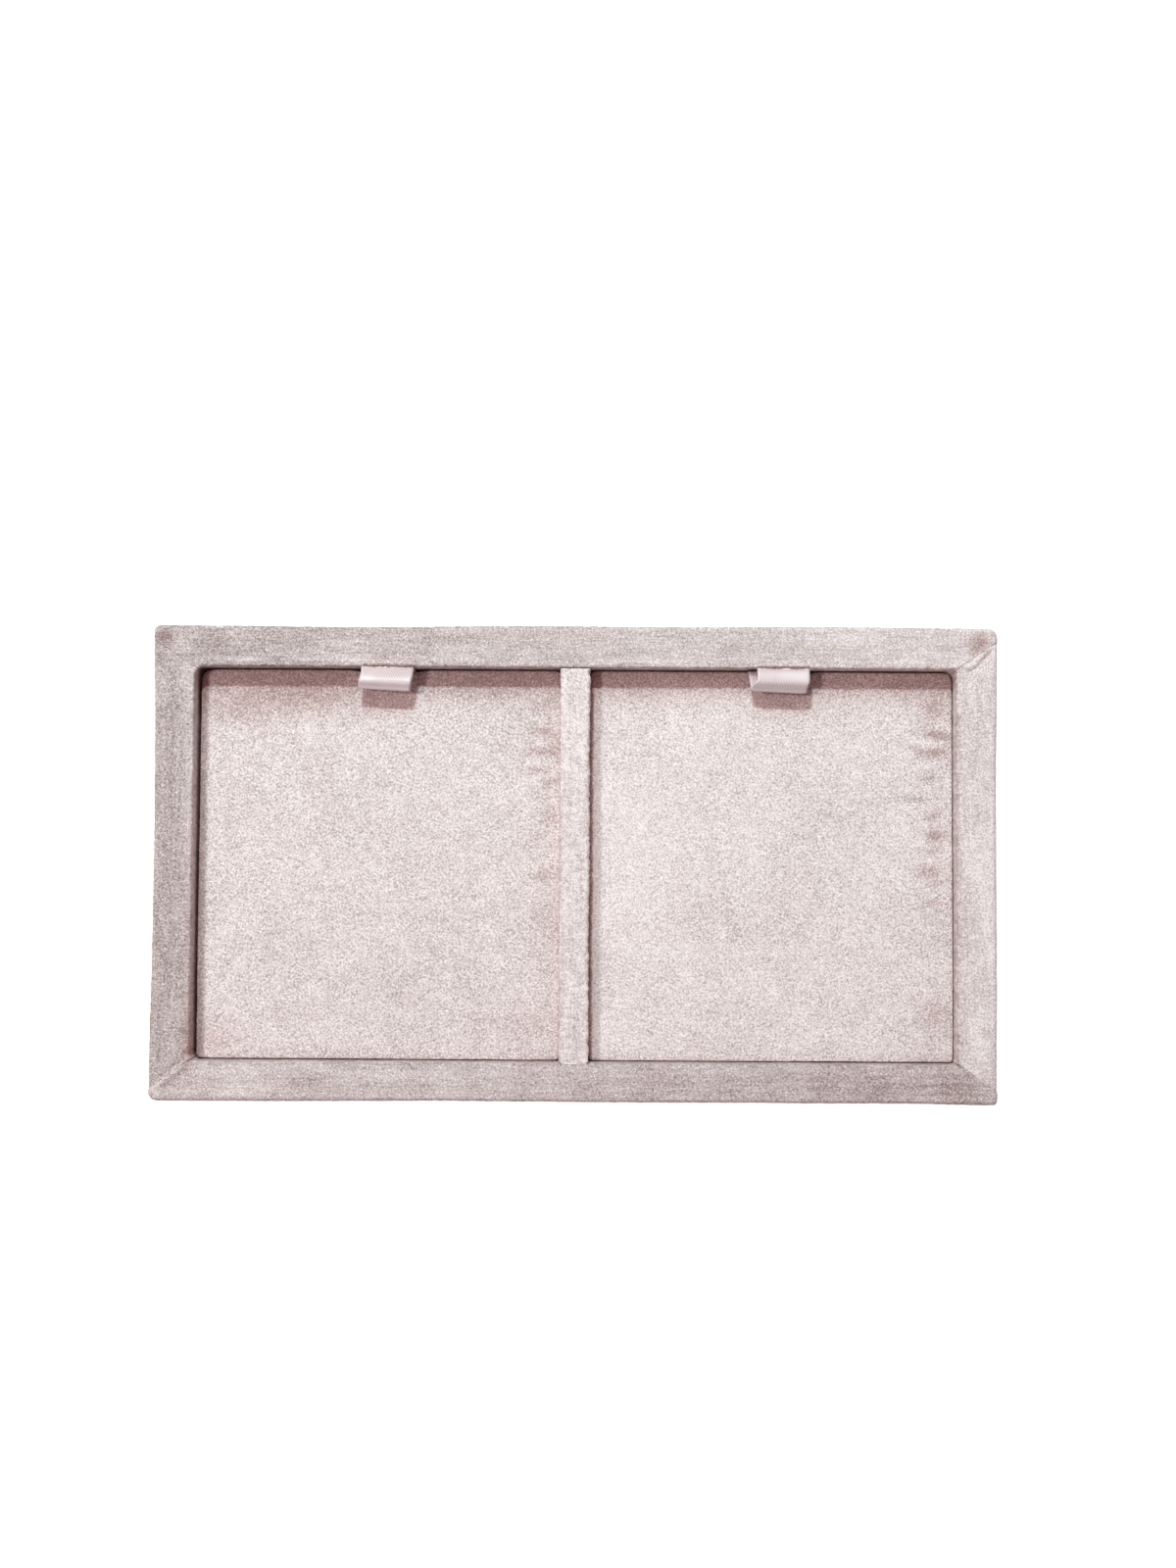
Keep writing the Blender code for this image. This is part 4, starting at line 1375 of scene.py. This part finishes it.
    def dress(self, mesh: Mesh, seed: int) -> None:
        """Raises the pile and sets how it lies.

        Args:
            mesh: the fine velvet.
            seed: picks the pattern.
        """
        points = read_points(mesh)
        above = np.clip((points[:, 2] - self.top + self.EDGE_DEPTH) / (self.EDGE_DEPTH / 2), 0, 1)
        relief = pile_relief(points, seed) * (0.3 + 0.7 * above)
        from_middle = points + relief[:, None] * read_points(mesh, "normal") - self.middle
        from_middle[:, :2] = np.clip(from_middle[:, :2], -self.half[:2], self.half[:2])
        write_points(mesh, from_middle + self.middle)
        nap = self.NAP[self.word] + 0.06 * smooth_noise(points, 4 * MM, seed + 4)
        nap += 0.05 * smooth_noise(points, 14 * MM, seed + 5)
        # The shades that the edges and the rails' shadows give it, by how far away each one is
        to_left, to_front = (points - np.array(self.low))[:, :2].T
        to_right, to_back = (np.array(self.high) - points)[:, :2].T
        gap = np.minimum(np.minimum(to_left, to_right), np.minimum(to_front, to_back))
        edges = fade(gap, 0.7 * MM)
        by_back, near_back = fade(to_back, 7.5 * MM), fade(to_back, 5.5 * MM)
        by_right, by_front = fade(to_right, 8.0 * MM), fade(to_front, 3.2 * MM)
        # Painted shadow, warm painted shade and painted light by the left edge, where the side lamp's
        # shadow falls
        dark_reach, shade = self.LEFT_PAINTED_SHADOW[self.word]
        warm_reach, painted_warmth, paler = self.LEFT_PAINTED_WARMTH_AND_LIGHT[self.word]
        left_painted_mask = fade(to_left, warm_reach, 4)
        nap += paler * left_painted_mask - shade * fade(to_left, dark_reach, 4)
        nap -= 0.05 * edges + 0.13 * by_back + 0.20 * near_back + 0.12 * by_front
        nap -= self.RIGHT_SHADE[self.word] * by_right
        blush = 0.12 * edges + 0.22 * by_back + 0.04 * by_right + 0.07 * by_front
        blush += painted_warmth * left_painted_mask
        for patch in PAD_PATCHES:
            strength = patch.at(points)
            nap += patch.shade * strength
            blush += patch.blush * strength
        store_nap_and_shading(mesh, nap, blush)

    def build(self, seed: int) -> None:
        """Builds the pad, whose pile's pattern the seed picks."""
        mesh = self.shape()
        self.swell(mesh)
        mesh = self.finer(mesh)
        self.dress(mesh, seed)
        nodes = [f"{self.word}_pad_cover", f"{self.word}_pad_foam"]
        piece = add_piece(mesh, PAD_VELVET, nodes, VELVET_THICKNESS)
        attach(piece, f"{self.word}_pad")


# Each pad has been pushed to the right and the front: its gaps on the left, right, front and back
PAD_GAPS = {
    "left": (0.40 * MM, 0.03 * MM, -0.08 * MM, 0.12 * MM),
    "right": (0.01 * MM, 0.0, -0.08 * MM, 0.12 * MM),
}


def pad_place(word: str) -> tuple[Vector, Vector]:
    """The lowest and highest corner of a pad where it lies in its compartment."""
    left, right, front, back = PAD_GAPS[word]
    cover_low, cover_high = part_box(f"{word}_pad_cover")
    divider_low, divider_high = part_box("divider_velvet")
    walls = {
        "left": (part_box("left_rail_velvet")[1].x, divider_low.x),
        "right": (divider_high.x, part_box("right_rail_velvet")[0].x),
    }
    low_x, high_x = walls[word]
    low_y, high_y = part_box("front_rail_velvet")[1].y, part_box("back_rail_velvet")[0].y
    low = Vector((low_x + left, low_y + front, cover_low.z))
    return low, Vector((high_x - right, high_y - back, cover_high.z))


def lay_lining(word: str) -> None:
    """Lays the velvet on the left or the right compartment's floor."""
    low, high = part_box(f"{word}_floor_lining")
    columns, rows = round((high.x - low.x) / MM), round((high.y - low.y) / MM)

    def place(along: np.ndarray, across: np.ndarray) -> np.ndarray:
        x = low.x + (high.x - low.x) * along
        y = low.y + (high.y - low.y) * across
        return np.column_stack((x, y, np.full(len(x), high.z)))

    mesh = velvet_sheet(f"{word}_floor_pile", columns, rows, place)
    points = read_points(mesh)
    points[:, 2] += 0.6 * pile_relief(points, 90)
    write_points(mesh, points)
    store_nap_and_shading(mesh, 0.5 + 0.08 * smooth_noise(points, 9 * MM, 91), np.zeros(len(points)))
    piece = add_piece(mesh, SHORT_RAIL, [f"{word}_floor_lining"], 0.55 * MM)
    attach(piece, "tray")


@dataclass
class Ribbon:
    """One pull ribbon, folded in half: both layers are glued under the pad and go up behind it.

    Attributes:
        word: left or right.
        lean: how far the fold lies to the side of where the ribbon comes up, in metres.
        turn: the shares of the way to the fold between which the upper layer turns that way.
        lag: how much less the fold's right end lies to that side than its left end.
        slant: how much further forward the fold is for each metre to the right.
        splay: how far the lower layer stands out sideways where it goes down, in metres.
        rounding: how far the fold's ends draw back, in metres.
    """

    word: str
    lean: float
    turn: Point
    lag: float
    slant: float
    splay: float
    rounding: float

    WIDTH = 12.7 * MM
    THICKNESS = 0.2 * MM
    # How far apart the two layers are behind and under the pad
    LAYER = 0.25 * MM
    BEND = 0.8 * MM
    # Faces along and across the strip
    STEPS = 240
    STRANDS = 24
    # How high the faint waves across the fold are, and how far apart
    RIPPLE = (0.03 * MM, 4.5 * MM)
    # Each fold's side view from the hinge, in mm forwards and up, upper layer first. It rises over
    # the back rail's edge, dips, crests, and turns down to a crease above the pad.
    RISE = ((-0.14, -1.00), (-0.20, -0.50), (-0.34, -0.12), (-0.38, 0.04), (-0.33, 0.11))
    RETURN = ((3.60, -2.06), (2.60, -2.10), (1.80, -2.06), (0.85, -2.00), (0.42, -2.34))
    FOLDS = {
        "left": (
            (-0.18, 0.11), (0.30, 0.10), (0.90, 0.10), (1.50, 0.12), (2.00, 0.17), (2.45, 0.24),
            (2.90, 0.34), (3.30, 0.42), (3.56, 0.43), (3.78, 0.37), (4.02, 0.26), (4.30, 0.08),
            (4.62, -0.13), (4.92, -0.27), (5.17, -0.34), (5.33, -0.48), (5.36, -0.85), (5.24, -1.35),
            (4.80, -1.80),
        ),
        "right": (
            (-0.18, 0.09), (0.20, 0.09), (0.60, 0.14), (1.00, 0.22), (1.40, 0.31), (1.80, 0.40),
            (2.20, 0.48), (2.60, 0.55), (2.95, 0.59), (3.27, 0.57), (3.58, 0.46), (3.88, 0.27),
            (4.18, 0.02), (4.46, -0.24), (4.74, -0.49), (4.99, -0.68), (5.24, -0.75), (5.40, -0.89),
            (5.44, -1.16), (5.34, -1.50), (4.90, -1.86),
        ),
    }

    @property
    def hinge(self) -> Sequence[float]:
        """Where the loop's hinge is."""
        name = f"{self.word}_tab_flex"
        return next(joint["pos_m"] for joint in frame["joints"] if joint["name"] == name)

    def path(self) -> np.ndarray:
        """The ribbon's side view from one glued end over the fold to the other.

        Returns:
            Rows of Y, Z, how far towards the fold's tip each point is, from 0 to 1, and 0 for the
            upper layer or 1 for the lower.
        """
        tail_low, tail_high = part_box(f"{self.word}_ribbon_tail")
        outer, under = tail_high.y - self.LAYER / 2, tail_low.z + self.LAYER / 2
        inner, over = outer - self.LAYER, under + self.LAYER
        _, hinge_y, hinge_z = self.hinge
        view = np.array((*self.RISE, *self.FOLDS[self.word], *self.RETURN)) * MM
        fold = [(hinge_y - ahead, hinge_z + up) for ahead, up in view]
        bend, end_bend = self.BEND, self.BEND - self.LAYER
        start = [(tail_low.y, under)]
        start += run(start[-1], (outer - bend, under), 9)
        start += arc((outer - bend, under + bend), bend, -90, 0, 5)
        start += run(start[-1], (outer, fold[0][1] - 1 * MM), 8)
        end = [(inner, fold[-1][1] - 0.8 * MM)]
        end += run(end[-1], (inner, over + end_bend), 7)
        end += arc((inner - end_bend, over + end_bend), end_bend, 0, -90, 5)
        end += run(end[-1], (tail_low.y, over), 9)
        points = np.array(start + fold + end)
        order = np.arange(len(points))
        lower = order > len(start) + int(view[:, 0].argmax())
        reach = np.clip((hinge_y - points[:, 0]) / view[:, 0].max(), 0, 1)
        in_fold = (order >= len(start)) & (points[:, 1] > hinge_z - 4 * MM)
        return np.column_stack((points, np.where(in_fold, reach, 0), lower))

    def build(self) -> None:
        """Builds the ribbon."""
        coarse = self.path()
        lengths = np.concatenate(([0], np.cumsum(step_lengths(coarse[:, :2]))))
        even = np.linspace(0, lengths[-1], self.STEPS + 1)
        fine = np.column_stack([smooth_through(lengths, column, even) for column in coarse.T])
        low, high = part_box(f"{self.word}_ribbon_tail")
        centre = (low.x + high.x) / 2

        def place(along: np.ndarray, across: np.ndarray) -> np.ndarray:
            y, z, reach, lower = fine[np.rint(along * self.STEPS).astype(int)].T
            offset = (across - 0.5) * self.WIDTH
            reach, lower = np.clip(reach, 0, 1), np.clip(lower, 0, 1)
            raised = np.clip((z - low.z - 3 * MM) / (7 * MM), 0, 1)
            first, last = self.turn
            upper = ease(np.clip((reach - first) / (last - first), 0, 1))
            turned = (upper + (reach - upper) * lower) * (1 - self.lag * across)
            sideways = self.lean * turned + self.splay * lower * (1 - reach) * raised
            at_end = np.clip((np.abs(offset) - self.WIDTH / 2) / (1.2 * MM) + 1, 0, 1)
            forward = self.slant * offset * reach - self.rounding * at_end**2 * reach**4
            height, wave = self.RIPPLE
            ripple = height * np.sin(2 * math.pi * offset / wave) * reach
            return np.column_stack((centre + offset + sideways, y - forward, z + ripple))

        mesh = velvet_sheet(f"{self.word}_ribbon", self.STEPS, self.STRANDS, place)
        self.map_flat(mesh, lengths[-1])
        nodes = [f"{self.word}_ribbon_loop", f"{self.word}_ribbon_tail"]
        piece = add_piece(mesh, SATIN, nodes, self.THICKNESS, 0.0)
        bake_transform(piece)

    def map_flat(self, mesh: Mesh, length: float) -> None:
        """Gives the ribbon a UV map of its flat strip of that length, in metres."""
        uv_map = mesh.uv_layers.new(name="ribbon")
        corners = np.empty(len(mesh.loops), dtype=int)
        mesh.loops.foreach_get("vertex_index", corners)
        strand, step = np.divmod(corners, self.STEPS + 1)
        flat = np.column_stack((strand / self.STRANDS * self.WIDTH, step / self.STEPS * length))
        uv_map.uv.foreach_set("vector", flat.astype(np.float32).ravel())


LEFT_RIBBON = Ribbon("left", -0.85 * MM, (0.0, 1.0), 0.0, 0.058, 0.0, 0.1 * MM)
RIGHT_RIBBON = Ribbon("right", -1.32 * MM, (0.45, 0.88), 0.6, 0.045, -2.1 * MM, 0.3 * MM)


@dataclass(frozen=True)
class Lamp:
    """A soft lamp that points at the tray.

    Attributes:
        name: what it stands for.
        azimuth: where it stands, anticlockwise from the back, in degrees.
        elevation: how high it stands, in degrees.
        size: its width and height, in metres.
        level: how brightly it lights a level sheet, 1 being white.
        colour: its colour.
    """

    name: str
    azimuth: float
    elevation: float
    size: Point
    level: float
    colour: Size

    DISTANCE = 1.2

    def build(self) -> None:
        """Adds the lamp."""
        elevation, azimuth = math.radians(self.elevation), math.radians(self.azimuth)
        lamp = bpy.data.lights.new(self.name, "AREA")
        lamp.shape = "ELLIPSE"
        lamp.size, lamp.size_y = self.size
        lamp.energy = self.level * (math.pi * self.DISTANCE) ** 2 / math.sin(elevation)
        lamp.color = self.colour
        holder = add_object(self.name, lamp)
        towards = Vector((0, math.cos(elevation), math.sin(elevation)))
        towards.rotate(Euler((0, 0, azimuth)))
        holder.location = towards * self.DISTANCE
        holder.rotation_euler = (math.pi / 2 - elevation, 0, azimuth + math.pi)


LAMPS = (
    Lamp("key", 10.0, 46.0, (0.09, 0.09), 0.445, (0.81, 1.0, 1.0)),
    Lamp("window", 2.0, 34.0, (1.1, 0.44), 0.20, (0.72, 1.0, 1.0)),
    Lamp("side", 84.0, 58.0, (0.16, 0.16), 0.27, (1.0, 0.84, 0.83)),
    Lamp("bounce", 180.0, 6.0, (1.2, 0.12), 0.012, (0.45, 1.0, 1.0)),
)


@dataclass
class Studio:
    """The floor, the lights and the camera.

    Attributes:
        camera: the camera's place.
        pitch: how far it looks towards +Y from straight down, in degrees.
        yaw: how far it looks towards +X, in degrees.
        roll: how far the picture's right is turned anticlockwise, in degrees.
        lens: its focal length in mm, for a 36 mm long side.
    """

    camera: Size = (5.04 * MM, -0.76 * MM, 465.6 * MM)
    pitch: float = 2.598
    yaw: float = -0.230
    roll: float = 0.312
    lens: float = 42.19

    FLOOR_SIZE = 4.0
    FLOOR_COLOUR = "F4F3F2"
    FLOOR_GLOW = 0.75
    WHITE = (1, 1, 1, 1)
    # The light from all round, which the velvet's own colour has warmed
    FILL = (0.275, 0.166, 0.168, 1.0)

    def place_camera(self) -> None:
        """Adds the camera at the photograph's viewing angle."""
        data = bpy.data.cameras.new("camera")
        data.sensor_width = 36
        data.lens = self.lens
        camera = add_object("camera", data)
        roll = math.radians(self.roll)
        forward = Vector((math.tan(math.radians(self.yaw)), math.tan(math.radians(self.pitch)), -1))
        forward.normalize()
        right = Vector((math.cos(roll), math.sin(roll), 0))
        right = (right - forward * right.dot(forward)).normalized()
        turned = Matrix((right, right.cross(forward), -forward)).transposed().to_4x4()
        camera.matrix_world = Matrix.Translation(self.camera) @ turned
        bpy.context.scene.camera = camera

    def light(self) -> None:
        """Adds the lamps and the even light from all round."""
        for lamp in LAMPS:
            lamp.build()
        world = bpy.data.worlds.new("studio")
        bpy.context.scene.world = world
        world.use_nodes = True
        tree = world.node_tree
        seen = self.seen_directly(tree)
        colours = {"data_type": "RGBA", 6: self.FILL, 7: self.WHITE}
        colour = add_node(tree, "ShaderNodeMix", colours, {0: seen})
        tree.links.new(colour.outputs[2], tree.nodes["Background"].inputs["Color"])

    @staticmethod
    def seen_directly(tree: Tree) -> Socket:
        """One for rays from the camera and for those that gloss or glass sends on, else zero."""
        path = add_node(tree, "ShaderNodeLightPath").outputs
        total = path["Is Camera Ray"]
        for name in ("Is Glossy Ray", "Is Transmission Ray"):
            total = add_math(tree, "ADD", {0: total, 1: path[name]}, clamp=True)
        return total

    def lay_floor(self) -> None:
        """Adds the pale floor, lit white where it is seen and still taking the shadow."""
        mesh = grid_mesh("floor", 1, 1, self.FLOOR_SIZE / 2)
        floor = add_object("floor", mesh)
        paper = Surface("floor_paper")
        seen = {"Value": self.seen_directly(paper.tree)}
        glow = add_node(paper.tree, "ShaderNodeMapRange", {"To Min": 0.0, "To Max": self.FLOOR_GLOW}, seen)
        paper.tree.links.new(glow.outputs["Result"], paper.shader.inputs["Emission Strength"])
        levels = {
            "Base Color": linear(self.FLOOR_COLOUR),
            "Roughness": 1.0,
            "Specular IOR Level": 0.0,
            "Emission Color": self.WHITE,
        }
        for name, level in levels.items():
            paper.shader.inputs[name].default_value = level
        mesh.materials.append(paper.material)

    def build(self) -> None:
        """Sets up the whole studio."""
        bpy.context.scene.view_settings.view_transform = "Standard"
        self.place_camera()
        self.light()
        self.lay_floor()


# The finish of the CAD pieces that stay in view, by the last word of their names
BOARD_FINISHES = {"board": FIBREBOARD, "panel": CARD, "backing": CARD}


def dress_boards() -> None:
    """Gives the CAD boards and cards their finish."""
    for name, node in frame["nodes"].items():
        finish = BOARD_FINISHES.get(name.rsplit("_", 1)[-1])
        if finish:
            node.data.materials.clear()
            node.data.materials.append(material_of(finish))


def main() -> None:
    """Builds every piece round the frame."""
    logging.basicConfig(level=logging.INFO, format="%(message)s")
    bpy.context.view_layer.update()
    Studio().build()
    dress_boards()
    front_low, front_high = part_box("front_rail_velvet")
    FrameVelvet(front_high.x, -front_low.y, front_high.z).build()
    _, divider_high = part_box("divider_velvet")
    DividerVelvet(divider_high.x, divider_high.y, divider_high.z).build()
    for seed, word in ((100, "left"), (200, "right")):
        lay_lining(word)
        Pad(word, *pad_place(word)).build(seed)
    for ribbon in (LEFT_RIBBON, RIGHT_RIBBON):
        ribbon.build()


if __name__ == "__main__":
    main()
